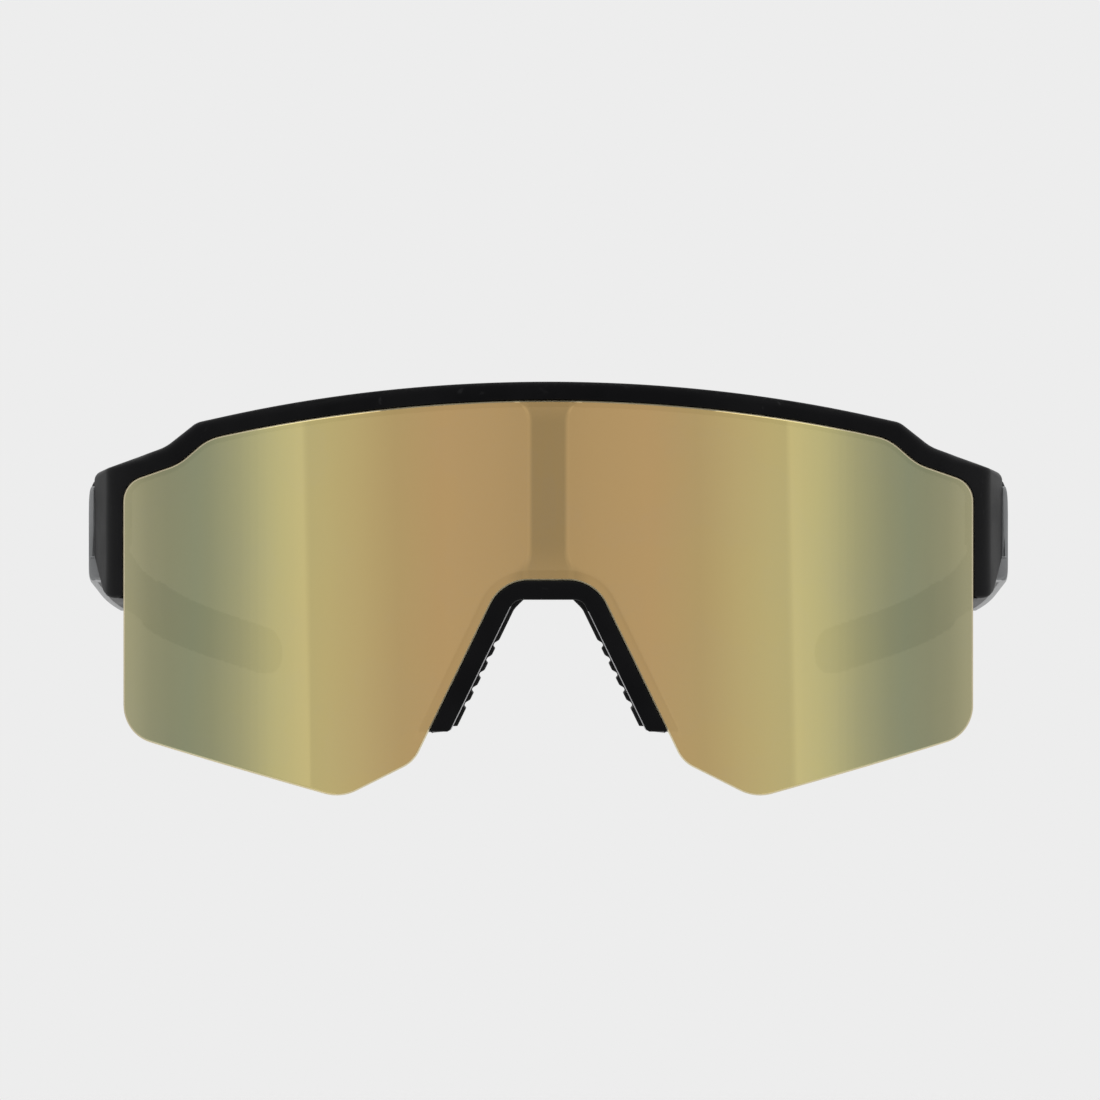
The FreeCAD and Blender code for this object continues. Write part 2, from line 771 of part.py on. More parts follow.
def temple_slab_pair(name, side, growth):
    """The temple's full solid, grown or shrunk all round from its plan and side outlines."""
    if growth.value != 0:
        side = offset(f"{name}_side", side, growth)
    upright = slab(f"{name}_plan", temple_plan(f"{name}_plan", growth), UP, DRAW_DEPTH, DRAW_DEPTH)
    sideways = slab(f"{name}_side", side, ACROSS, TEMPLE_DEPTH)
    return common(f"{name}_envelope", upright, sideways)


def temple_span(name, start, end):
    """A box that keeps what lies between two distances back."""
    low = (0.0, start, -DRAW_DEPTH)
    high = (TEMPLE_DEPTH, end, DRAW_DEPTH)
    return box(name, low, high)


def trim_top(back):
    """The height of the trim's sloping top edge at a distance behind the temple's front."""
    front_height = dims.temple_front_top - dims.trim_top_inset
    return front_height - (front_height + dims.trim_tail_low) * back / dims.trim_length


def trim_solid(name, envelope, gap):
    """The trim, grown by a gap: a skin on the temple's outside and a foot under its front."""
    start = temple_front - gap
    end = dims.trim_length + temple_front + gap
    corners = (
        Corner(start, trim_top(Size.of(0)) + gap, None),
        Corner(end, gap - dims.trim_tail_low, None),
        Corner(end + dims.trim_tail_slant, Size.of(-DRAW_DEPTH), None),
        Corner(start, Size.of(-DRAW_DEPTH), None),
    )
    sketch = outline(f"{name}_edge", "YZ_Plane", corners)
    skin_slab = slab(f"{name}_edge", sketch, ACROSS, TEMPLE_DEPTH)
    inside_plan = temple_plan(f"{name}_inside", -(dims.trim_depth + gap))
    inside = slab(f"{name}_inside", inside_plan, UP, DRAW_DEPTH, DRAW_DEPTH)
    middle = (temple_inner + temple_outer) / 2
    half_low = (middle, 0.0, -DRAW_DEPTH)
    half_high = (middle + TEMPLE_DEPTH, TEMPLE_DEPTH, DRAW_DEPTH)
    outside_half = box(f"{name}_half", half_low, half_high)
    skin = cut(f"{name}_skin", common(f"{name}_skin_blank", skin_slab, outside_half, envelope), inside)
    foot_low = (temple_inner - gap, start, -DRAW_DEPTH)
    foot_end = temple_front + dims.trim_foot_length + gap
    foot_top = dims.trim_foot_height - dims.temple_front_low + gap
    foot_high = (temple_outer + dims.trim_depth, foot_end, foot_top)
    foot = common(f"{name}_foot", box(f"{name}_foot_box", foot_low, foot_high), envelope)
    pegs = []
    for number in range(PEG_COUNT):
        back = dims.peg_start + number * dims.peg_spacing
        underside = -dims.temple_front_low - back * underside_fall
        peg_up = (trim_top(back) + underside) / 2
        peg_inner = temple_outer - dims.trim_depth - dims.peg_length - gap
        peg_outer = temple_outer - dims.trim_depth / 2
        peg = side_peg(f"{name}_peg_{number + 1}", dims.peg_radius + gap, peg_inner, peg_outer,
                       temple_front + back, peg_up)
        pegs.append(peg)
    return fuse(name, skin, foot, *pegs)


def make_temple(side, envelope, wide_envelope):
    """The left temple: a tall front with the hinge tongue, and a thin core behind."""
    split = temple_front + dims.grip_start
    core_end = temple_tip - dims.core_stop
    front = common("temple_front_part", envelope, temple_span("temple_front_span", 0.0, split))
    core_envelope = temple_slab_pair("core", side, -(dims.grip_wall + dims.grip_gap))
    core_start = split - dims.temple_wall
    core = common("temple_core", core_envelope, temple_span("temple_core_span", core_start, core_end))
    tongue_box_low = (hinge_across, hinge_back - dims.knuckle_radius, tongue_low)
    tongue_box_high = (temple_inner + dims.temple_wall / 2, hinge_back + dims.knuckle_radius, tongue_high)
    tongue = box("tongue_web", tongue_box_low, tongue_box_high)
    knuckle = hinge_bore("tongue_knuckle", dims.knuckle_radius, tongue_low, tongue_high)
    blank = fuse("temple_blank", front, core, tongue, knuckle)
    bore = hinge_bore("tongue_bore", dims.screw_radius + dims.screw_clearance, tongue_low, tongue_high)
    pocket = trim_solid("trim_pocket", wide_envelope, dims.trim_gap)
    return cut("temple_arm_left", blank, bore, pocket)


def make_trim(side):
    """The left trim, a little proud of the temple's outside."""
    proud_plan = slab("trim_plan", temple_plan("trim_plan", dims.trim_proud), UP, DRAW_DEPTH, DRAW_DEPTH)
    sideways = slab("trim_side", side, ACROSS, TEMPLE_DEPTH)
    return trim_solid("temple_trim_left", common("trim_envelope", proud_plan, sideways), Size.of(0))


def make_grip(side):
    """The left grip: a closed rubber sleeve over the temple's core."""
    split = temple_front + dims.grip_start + dims.grip_gap
    core_end = temple_tip - dims.core_stop + dims.grip_gap
    outside = temple_slab_pair("grip", side, dims.grip_proud)
    sleeve = common("grip_sleeve", outside, temple_span("grip_span", split, TEMPLE_DEPTH))
    hollow = temple_slab_pair("grip_hollow", side, -dims.grip_wall)
    hollow_end = common("grip_hollow_part", hollow, temple_span("grip_hollow_span", 0.0, core_end))
    return cut("temple_grip_left", sleeve, hollow_end)


# ---- Build ----

lens_sketch = lens_outline()
side_sketch = temple_side()
temple_envelope = temple_slab_pair("temple", side_sketch, Size.of(0))
wide_envelope = temple_slab_pair("temple_wide", side_sketch, dims.trim_proud + dims.trim_gap)

middle_pieces = [
    make_lens(lens_sketch),
    make_frame(lens_sketch),
    make_bridge(make_pad_seat()),
]
left_pieces = [
    make_pad(),
    make_screw(),
    make_insert(),
    make_temple(side_sketch, temple_envelope, wide_envelope),
    make_trim(side_sketch),
    make_grip(side_sketch),
]
right_pieces = [mirror(piece.Name.replace("_left", "_right"), piece) for piece in left_pieces]
pieces = middle_pieces + left_pieces + right_pieces
doc.recompute()

whole = FreeCAD.BoundBox()
for piece in pieces:
    whole.add(piece.Shape.optimalBoundingBox(False, False))
to_origin = FreeCAD.Vector(0, -(whole.YMin + whole.YMax) / 2, -whole.ZMin)
for piece in middle_pieces + left_pieces:
    piece.Placement = FreeCAD.Placement(to_origin, FreeCAD.Rotation())
for piece in pieces:
    piece.Label = piece.Name
doc.recompute()

faults = [feature.Name for feature in doc.Objects if {"Invalid", "Error"} & set(feature.State)]
faults += [piece.Label for piece in pieces if piece.Shape.isNull() or not piece.Shape.isValid()]
if faults:
    raise RuntimeError(f"these did not build: {faults}")

os.makedirs("parts", exist_ok=True)
for piece in pieces:
    piece.Shape.exportStep(f"parts/{piece.Label}.step")
    print(piece.Label, "solids:", len(piece.Shape.Solids), "volume:", round(piece.Shape.Volume, 1))
hinge_axis = FreeCAD.Vector(hinge_across.value, hinge_back.value, dims.hinge_height.value) + to_origin
print("left hinge, middle of its axis:", hinge_axis)
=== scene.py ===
import logging
import math
from dataclasses import dataclass
from enum import Enum
from typing import Sequence

import bpy
import numpy as np
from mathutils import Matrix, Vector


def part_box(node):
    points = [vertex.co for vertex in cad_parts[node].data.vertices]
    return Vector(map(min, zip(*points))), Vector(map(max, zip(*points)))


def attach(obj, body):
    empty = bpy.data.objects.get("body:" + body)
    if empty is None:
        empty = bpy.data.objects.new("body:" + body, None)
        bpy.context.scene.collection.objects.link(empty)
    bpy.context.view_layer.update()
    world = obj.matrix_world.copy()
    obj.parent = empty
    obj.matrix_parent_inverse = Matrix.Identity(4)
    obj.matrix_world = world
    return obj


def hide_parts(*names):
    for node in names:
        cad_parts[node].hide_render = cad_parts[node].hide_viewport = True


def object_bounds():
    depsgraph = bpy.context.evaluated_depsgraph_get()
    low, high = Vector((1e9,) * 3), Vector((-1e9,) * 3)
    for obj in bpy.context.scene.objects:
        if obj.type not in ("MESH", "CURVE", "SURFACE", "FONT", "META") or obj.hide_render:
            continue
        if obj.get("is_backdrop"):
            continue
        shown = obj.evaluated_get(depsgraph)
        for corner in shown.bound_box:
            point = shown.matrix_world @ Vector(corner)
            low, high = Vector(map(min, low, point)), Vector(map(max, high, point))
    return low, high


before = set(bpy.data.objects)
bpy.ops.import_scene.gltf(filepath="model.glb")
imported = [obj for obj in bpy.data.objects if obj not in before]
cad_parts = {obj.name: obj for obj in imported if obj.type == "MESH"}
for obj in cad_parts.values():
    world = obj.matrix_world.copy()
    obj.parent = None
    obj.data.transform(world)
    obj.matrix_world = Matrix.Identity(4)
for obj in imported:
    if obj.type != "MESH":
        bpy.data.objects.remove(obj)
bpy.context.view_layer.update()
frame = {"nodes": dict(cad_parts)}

LOG = logging.getLogger("sunglasses")
MM = 0.001
SHARP_ANGLE = math.radians(42)
QUARTER_TURN = math.pi / 2

# Sizes of the drawing that several pieces share, in millimetres.
WRAP_RADIUS = 88.0
LENS_TOP = 22.65
FRAME_PROUD = 0.2
HINGE = (67.6, 45.173)
FLANGE_FRONT_RADIUS = 85.74
BORE_CHAMFER = 0.12

Colour = tuple[float, float, float]
Place = tuple[float, float, float]
Span = tuple[float, float]
Counts = tuple[int, ...]
Corners = Sequence[tuple[float, float, float]]


class Side(Enum):
    """The wearer's side that a paired piece belongs to; the left lies at positive x."""

    LEFT = 1.0
    RIGHT = -1.0

    @property
    def label(self) -> str:
        """The side's name in lower case."""
        return self.name.lower()

    @property
    def body(self) -> str:
        """The moving body of this side's temple."""
        return f"temple_{self.label}"


@dataclass(frozen=True)
class Drawing:
    """Where the drawing's origin lies: y counts back from the lens's front, z up from eye level.

    back and up are the origin's place in the row frame, in metres.
    """

    back: float
    up: float

    @classmethod
    def of_frame(cls) -> "Drawing":
        """The drawing's place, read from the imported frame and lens."""
        frame_low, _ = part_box("brow_frame")
        _, lens_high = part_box("shield_lens")
        return cls(frame_low.y + FRAME_PROUD * MM, lens_high.z - LENS_TOP * MM)

    def metres(self, points: np.ndarray) -> np.ndarray:
        """Points of the drawing, in millimetres, as points of the row frame in metres."""
        return points * MM + np.array([0.0, self.back, self.up])


# ---- Surfaces ----

LEAST_ROUNDING = 0.1
LARGEST_CORNER_SHARE = 0.45
END_ANGLES = (0.0, 22.5, 45.0, 67.5, 90.0)


@dataclass
class Shell:
    """One closed surface: points (n, 3) in millimetres, faces, and a finish number per face."""

    points: np.ndarray
    faces: list
    finishes: list
    mask: np.ndarray | None = None

    def outwards(self) -> "Shell":
        """The same surface with its faces turned outwards, by the sign of the volume they enclose."""
        corners = np.array([(f[0], f[k], f[k + 1]) for f in self.faces for k in range(1, len(f) - 1)])
        a, b, c = (self.points[corners[:, k]] for k in range(3))
        if np.einsum("ij,ij->i", a, np.cross(b, c)).sum() < 0:
            self.faces = [face[::-1] for face in self.faces]
        return self

    def mirrored(self, side: Side) -> "Shell":
        """The surface on the given side: the right is the left with x turned round."""
        points = self.points * np.array([side.value, 1.0, 1.0])
        return Shell(points, self.faces, self.finishes, self.mask).outwards()


def wrap(across: np.ndarray, radius: float) -> np.ndarray:
    """How far back a cylinder about the wrap axis lies: the axis, less the root of radius^2 - x^2."""
    return WRAP_RADIUS - np.sqrt(radius**2 - np.asarray(across, float) ** 2)


def smooth(edge_low: float, edge_high: float, value: np.ndarray) -> np.ndarray:
    """A soft step: with t the clipped place between the edges, t^2 (3 - 2 t)."""
    t = np.clip((value - edge_low) / (edge_high - edge_low), 0.0, 1.0)
    return t * t * (3.0 - 2.0 * t)


def grow(corners: Corners, distance: float) -> np.ndarray:
    """A closed polygon's corners after every side has moved outwards.

    Each side's line shifts along its normal and neighbours are met again; a corner that turns left
    gains the distance in its radius and one that turns right loses it.

    Args:
        corners: across, up and rounding of each corner, anticlockwise.
        distance: how far the sides move, negative for inwards.

    Returns:
        An array of the new corners, in the same order.
    """
    table = np.asarray(corners, float)
    points = table[:, :2]
    ahead = np.roll(points, -1, 0) - points
    ahead /= np.linalg.norm(ahead, axis=1)[:, None]
    behind = np.roll(ahead, 1, 0)
    out_ahead = np.stack([ahead[:, 1], -ahead[:, 0]], 1)
    out_behind = np.roll(out_ahead, 1, 0)
    bisector = out_ahead + out_behind
    reach = distance * 2.0 / np.einsum("ij,ij->i", bisector, bisector)
    turn = np.sign(behind[:, 0] * ahead[:, 1] - behind[:, 1] * ahead[:, 0])
    rounding = np.maximum(table[:, 2] + turn * distance, LEAST_ROUNDING)
    return np.column_stack([points + bisector * reach[:, None], rounding])


def trace(corners: np.ndarray, arcs: Sequence[int], runs: Sequence[int]) -> np.ndarray:
    """Points along an open polygon whose inner corners are swapped for tangent arcs.

    An arc starts radius * tan(turn / 2) before its corner; each straight run between arcs is divided
    evenly, so outlines with the same counts match point for point.

    Args:
        corners: across, up and rounding; the first and last are plain ends.
        arcs: steps in each inner corner's arc.
        runs: steps in each straight run.

    Returns:
        An array (n, 2).
    """
    table = np.asarray(corners, float)
    places = table[:, :2]
    pieces = [places[:1]]
    last = places[0]
    for number in range(1, len(table) - 1):
        before, corner, after = places[number - 1 : number + 2]
        come = (corner - before) / np.linalg.norm(corner - before)
        leave = (after - corner) / np.linalg.norm(after - corner)
        turn = math.atan2(come[0] * leave[1] - come[1] * leave[0], come @ leave)
        reach = table[number, 2] * math.tan(abs(turn) / 2)
        start = corner - come * reach
        side = math.copysign(1.0, turn)
        centre = start + np.array([-come[1], come[0]]) * table[number, 2] * side
        swing = np.linspace(0, turn, arcs[number - 1] + 1)
        spoke = start - centre
        arc = centre + np.column_stack([
            spoke[0] * np.cos(swing) - spoke[1] * np.sin(swing),
            spoke[0] * np.sin(swing) + spoke[1] * np.cos(swing),
        ])
        share = np.linspace(0, 1, runs[number - 1] + 1)[1:-1, None]
        pieces += [last + (start - last) * share, arc]
        last = arc[-1]
    share = np.linspace(0, 1, runs[-1] + 1)[1:, None]
    pieces.append(last + (places[-1] - last) * share)
    return np.concatenate(pieces)


def band_faces(rings: int, count: int, closed: bool = False) -> list:
    """The four-cornered faces between successive rings of points, each ring closed on itself."""
    ring = np.arange(rings if closed else rings - 1)[:, None]
    point = np.arange(count)[None, :]
    here = ring * count
    there = (ring + 1) % rings * count
    after = (point + 1) % count
    faces = np.stack([here + point, here + after, there + after, there + point], -1)
    return faces.reshape(-1, 4).tolist()


def round_end(ring: np.ndarray, ahead: np.ndarray, radius: float) -> np.ndarray:
    """The rings of a rounded end: a quarter turn that closes in as it comes to the end.

    At an angle a of the quarter turn the ring lies radius * (1 - sin a) short of the end and
    radius * (1 - cos a) inside its own outline, square to it.
    """
    run = np.roll(ring, -1, 0) - np.roll(ring, 1, 0)
    inwards = np.cross(run, ahead)
    inwards /= np.linalg.norm(inwards, axis=1)[:, None]
    if np.einsum("ij,ij->i", inwards, ring - ring.mean(0)).sum() > 0:
        inwards = -inwards
    angles = np.radians(END_ANGLES)[:, None, None]
    return ring - ahead * radius * (1 - np.sin(angles)) + inwards * radius * (1 - np.cos(angles))


def loft(rails: np.ndarray, rounding: Sequence[float | np.ndarray], steps: int = 3,
         end_round: float = 0.3) -> Shell:
    """A closed tube carried along rails that hold its section's corners.

    At each station the section's corner p is swapped for the curve (1-t)^2 a + 2 t (1-t) p + t^2 b,
    where a and b lie a rounding away on the section's sides, but never past the largest share.

    Args:
        rails: (corners, stations, 3).
        rounding: how far each corner's curve starts from it, or that at each station; zero keeps it.
        steps: steps in each curve.
        end_round: rounding of the two ends.

    Returns:
        The tube as a closed shell.
    """
    columns = []
    count = len(rails)
    for number, reach in enumerate(rounding):
        corner = rails[number]
        if np.ndim(reach) == 0 and reach == 0:
            columns.append(corner[:, None])
            continue
        reach = np.broadcast_to(reach, len(corner))[:, None]
        sides = []
        for other in (rails[number - 1], rails[(number + 1) % count]):
            span = other - corner
            length = np.linalg.norm(span, axis=1)[:, None]
            sides.append(corner + span / length * np.minimum(reach, LARGEST_CORNER_SHARE * length))
        t = np.linspace(0, 1, steps + 1)[None, :, None]
        start, end = sides
        curve = (1 - t) ** 2 * start[:, None] + 2 * t * (1 - t) * corner[:, None] + t**2 * end[:, None]
        columns.append(curve)
    rings = np.concatenate(columns, 1)
    return capped(rings, end_round)


def capped(rings: np.ndarray, end_round: float) -> Shell:
    """A tube of rings with a rounded, closed end at each side."""
    ahead = (rings[-1] - rings[-2]).mean(0)
    back = (rings[0] - rings[1]).mean(0)
    first = round_end(rings[0], back / np.linalg.norm(back), end_round)[::-1]
    final = round_end(rings[-1], ahead / np.linalg.norm(ahead), end_round)
    whole = np.concatenate([first, rings[1:-1], final])
    total, size = whole.shape[:2]
    faces = band_faces(total, size)
    faces.append(list(range(size))[::-1])
    faces.append(list(range((total - 1) * size, total * size)))
    return Shell(whole.reshape(-1, 3), faces, [0] * len(faces)).outwards()


def turned_ring(rings: Sequence[np.ndarray]) -> Shell:
    """A closed ring surface, like a washer, through rings of points that return to the first."""
    whole = np.stack(rings)
    faces = band_faces(len(whole), whole.shape[1], closed=True)
    return Shell(whole.reshape(-1, 3), faces, [0] * len(faces)).outwards()


@dataclass(frozen=True)
class Knuckle:
    """A hinge lug about the hinge axis: a half circle joined to its root, with an upright bore.

    low and high are the heights of its ends, root (2, 2) the far corners of its root in the order
    that closes the half circle, and bores the height and radius of the bore's rings from the top.
    """

    low: float
    high: float
    root: np.ndarray
    bores: Sequence[Span]
    radius: float = 2.0
    chamfer: float = 0.2
    core: float = 1.2
    end_shrink: float = 0.12
    arc_points: int = 25
    side_steps: int = 8

    def outside(self) -> np.ndarray:
        """The outline in plan (n, 2): the half circle that faces away from the root, then the sides."""
        centre = np.array(HINGE)
        facing = math.atan2(*(self.root[1] - centre)[::-1])
        away = round(facing / QUARTER_TURN) * QUARTER_TURN + math.pi
        swing = away + np.linspace(-QUARTER_TURN, QUARTER_TURN, self.arc_points)
        half = centre + self.radius * np.column_stack([np.cos(swing), np.sin(swing)])
        corners = np.array([half[-1], *self.root, half[0]])
        share = np.linspace(0, 1, self.side_steps + 1)[1:, None]
        sides = [start + (end - start) * share for start, end in zip(corners[:-1], corners[1:])]
        return np.concatenate([half] + sides)[:-1]

    def shell(self) -> Shell:
        """The lug: each bore ring lies in the direction of the outline's point from the axis."""
        centre = np.array(HINGE)
        outside = self.outside()
        spoke = outside - centre
        spoke /= np.linalg.norm(spoke, axis=1)[:, None]
        shrunk = outside + (centre + spoke * self.core - outside) * self.end_shrink
        levels = [(outside, self.low + self.chamfer), (outside, self.high - self.chamfer),
                  (shrunk, self.high)]
        levels += [(centre + spoke * size, height) for height, size in self.bores]
        levels.append((shrunk, self.low))
        return turned_ring([np.column_stack([flat, np.full(len(flat), height)])
                            for flat, height in levels])


def make_piece(name: str, shells: Sequence[Shell], drawing: Drawing,
               finishes: Sequence[bpy.types.Material]) -> bpy.types.Object:
    """A mesh object of one or more closed shells, with smooth faces and crisp edges.

    Args:
        name: the piece's name.
        shells: its surfaces, in millimetres of the drawing.
        drawing: the drawing's place in the row frame.
        finishes: its materials, by the finish numbers of the shells.

    Returns:
        The object, at the origin.
    """
    starts = np.cumsum([0] + [len(shell.points) for shell in shells[:-1]])
    faces = [[corner + int(start) for corner in face]
             for start, shell in zip(starts, shells) for face in shell.faces]
    points = drawing.metres(np.concatenate([shell.points for shell in shells]))
    mesh = bpy.data.meshes.new(name)
    mesh.from_pydata(points.tolist(), [], faces)
    mesh.polygons.foreach_set("use_smooth", np.ones(len(faces), bool))
    for finish in finishes:
        mesh.materials.append(finish)
    numbers = np.concatenate([np.asarray(shell.finishes, np.int32) for shell in shells])
    mesh.polygons.foreach_set("material_index", numbers)
    # Shell masks become the channel attribute, which the lens coating reads as painted shade on the
    # channel's floor.
    masks = [shell.mask for shell in shells if shell.mask is not None]
    if masks:
        attribute = mesh.attributes.new("channel", "FLOAT", "POINT")
        attribute.data.foreach_set("value", np.concatenate(masks).astype(np.float32))
    mesh.update()
    mesh.set_sharp_from_angle(angle=SHARP_ANGLE)
    piece = bpy.data.objects.new(name, mesh)
    bpy.context.scene.collection.objects.link(piece)
    return piece


# ---- Finishes ----

DUST_COLOUR = (0.42, 0.41, 0.39, 1.0)
CLOUD_RANGE = (0.3, 0.7)
LENS_INDEX = 1.5


class Sheet:
    """A short way to put nodes in a tree and join them."""

    def __init__(self, tree: bpy.types.NodeTree) -> None:
        """Keeps the tree that nodes are added to."""
        self.tree = tree

    def add(self, kind: str, values: dict | None = None, **settings: object) -> bpy.types.Node:
        """A new node with settings, and with values or joined sockets on its inputs.

        Args:
            kind: the node's type.
            values: an input's name or number, and what it holds or is joined to.
            settings: the node's own properties.

        Returns:
            The node.
        """
        node = self.tree.nodes.new(kind)
        for key, value in settings.items():
            setattr(node, key, value)
        for key, value in (values or {}).items():
            if isinstance(value, bpy.types.NodeSocket):
                self.tree.links.new(value, node.inputs[key])
            else:
                node.inputs[key].default_value = value
        return node

    def math(self, operation: str, *values: object) -> bpy.types.NodeSocket:
        """The output of a Math node with these inputs."""
        return self.add("ShaderNodeMath", dict(enumerate(values)), operation=operation).outputs[0]

    def ramp(self, factor: bpy.types.NodeSocket, stops: Sequence[tuple[float, Colour]],
             interpolation: str = "LINEAR") -> bpy.types.NodeSocket:
        """The colour output of a ramp with its stops as place and colour."""
        node = self.add("ShaderNodeValToRGB", {"Fac": factor})
        node.color_ramp.interpolation = interpolation
        elements = node.color_ramp.elements
        for place, _ in stops[2:]:
            elements.new(place)
        for element, (place, _) in zip(elements, stops):
            element.position = place
        for element, (_, colour) in zip(elements, stops):
            element.color = (*colour, 1.0)
        return node.outputs["Color"]

    def span(self, value: bpy.types.NodeSocket, low: float, high: float, out_low: float,
             out_high: float) -> bpy.types.NodeSocket:
        """A value carried from one range to another and held inside it."""
        inputs = {"Value": value, "From Min": low, "From Max": high,
                  "To Min": out_low, "To Max": out_high}
        return self.add("ShaderNodeMapRange", inputs, clamp=True).outputs["Result"]

    def mixed(self, factor: object, first: object, second: object) -> bpy.types.NodeSocket:
        """A colour between two, by a factor."""
        node = self.add("ShaderNodeMix", data_type="RGBA")
        for number, value in ((0, factor), (6, first), (7, second)):
            if isinstance(value, bpy.types.NodeSocket):
                self.tree.links.new(value, node.inputs[number])
            else:
                node.inputs[number].default_value = value
        return node.outputs[2]


def new_group(name: str, inputs: dict[str, float], outputs: Sequence[str]) -> tuple:
    """An empty node group with float inputs and outputs, and its first and last nodes.

    Args:
        name: the group's name.
        inputs: the name and default of each input.
        outputs: the names of the outputs.

    Returns:
        The group, a sheet for it, its input node and its output node.
    """
    group = bpy.data.node_groups.new(name, "ShaderNodeTree")
    for key, value in inputs.items():
        socket = group.interface.new_socket(key, in_out="INPUT", socket_type="NodeSocketFloat")
        socket.default_value = value
    for key in outputs:
        group.interface.new_socket(key, in_out="OUTPUT", socket_type="NodeSocketFloat")
    sheet = Sheet(group)
    return group, sheet, sheet.add("NodeGroupInput"), sheet.add("NodeGroupOutput")


@dataclass(frozen=True)
class Effects:
    """The shared surface effects: moulded grain, scuffs, and dust on what faces up."""

    grain: bpy.types.NodeTree
    scuffs: bpy.types.NodeTree
    dust: bpy.types.NodeTree

    @classmethod
    def build(cls) -> "Effects":
        """Makes the three groups once."""
        return cls(cls.make_grain(), cls.make_scuffs(), cls.make_dust())

    @staticmethod
    def make_grain() -> bpy.types.NodeTree:
        """Moulded grain: noise cells of two sizes, as a height and a slow cloud."""
        group, sheet, start, end = new_group("moulded_grain", {"Scale": 4000.0}, ("Height", "Cloud"))
        place = sheet.add("ShaderNodeTexCoord").outputs["Object"]
        fine = sheet.add("ShaderNodeTexNoise", {"Vector": place, "Scale": start.outputs["Scale"],
                                                "Detail": 2.0})
        cells = sheet.add("ShaderNodeTexVoronoi", {"Vector": place, "Scale": start.outputs["Scale"]})
        cloud = sheet.add("ShaderNodeTexNoise", {"Vector": place, "Scale": 90.0, "Detail": 4.0})
        height = sheet.math("ADD", fine.outputs["Fac"], cells.outputs["Distance"])
        group.links.new(height, end.inputs["Height"])
        group.links.new(cloud.outputs["Fac"], end.inputs["Cloud"])
        return group

    @staticmethod
    def make_scuffs() -> bpy.types.NodeTree:
        """Fine scratches: thin ridges of stretched noise, kept to worn patches."""
        group, sheet, start, end = new_group("scuffs", {"Amount": 0.3}, ("Mask",))
        place = sheet.add("ShaderNodeTexCoord").outputs["Object"]
        turned = sheet.add("ShaderNodeMapping", {"Vector": place, "Rotation": (0.4, 0.9, 0.7),
                                                 "Scale": (220.0, 2600.0, 500.0)}).outputs[0]
        lines = sheet.add("ShaderNodeTexNoise", {"Vector": turned, "Scale": 1.0, "Detail": 3.0})
        thin = sheet.span(lines.outputs["Fac"], 0.66, 0.74, 0.0, 1.0)
        patches = sheet.add("ShaderNodeTexNoise", {"Vector": place, "Scale": 140.0, "Detail": 2.0})
        patch = sheet.span(patches.outputs["Fac"], 0.45, 0.65, 0.0, 1.0)
        mask = sheet.math("MULTIPLY", sheet.math("MULTIPLY", thin, patch), start.outputs["Amount"])
        group.links.new(mask, end.inputs["Mask"])
        return group

    @staticmethod
    def make_dust() -> bpy.types.NodeTree:
        """Dust: specks of noise where the surface faces up."""
        group, sheet, start, end = new_group("dust", {"Amount": 0.2}, ("Mask",))
        place = sheet.add("ShaderNodeTexCoord").outputs["Object"]
        normal = sheet.add("ShaderNodeNewGeometry").outputs["Normal"]
        upward = sheet.add("ShaderNodeSeparateXYZ", {0: normal}).outputs["Z"]
        facing = sheet.span(upward, 0.2, 0.95, 0.0, 1.0)
        specks = sheet.add("ShaderNodeTexNoise", {"Vector": place, "Scale": 1500.0, "Detail": 5.0})
        speck = sheet.span(specks.outputs["Fac"], 0.52, 0.78, 0.0, 1.0)
        mask = sheet.math("MULTIPLY", sheet.math("MULTIPLY", facing, speck), start.outputs["Amount"])
        group.links.new(mask, end.inputs["Mask"])
        return group


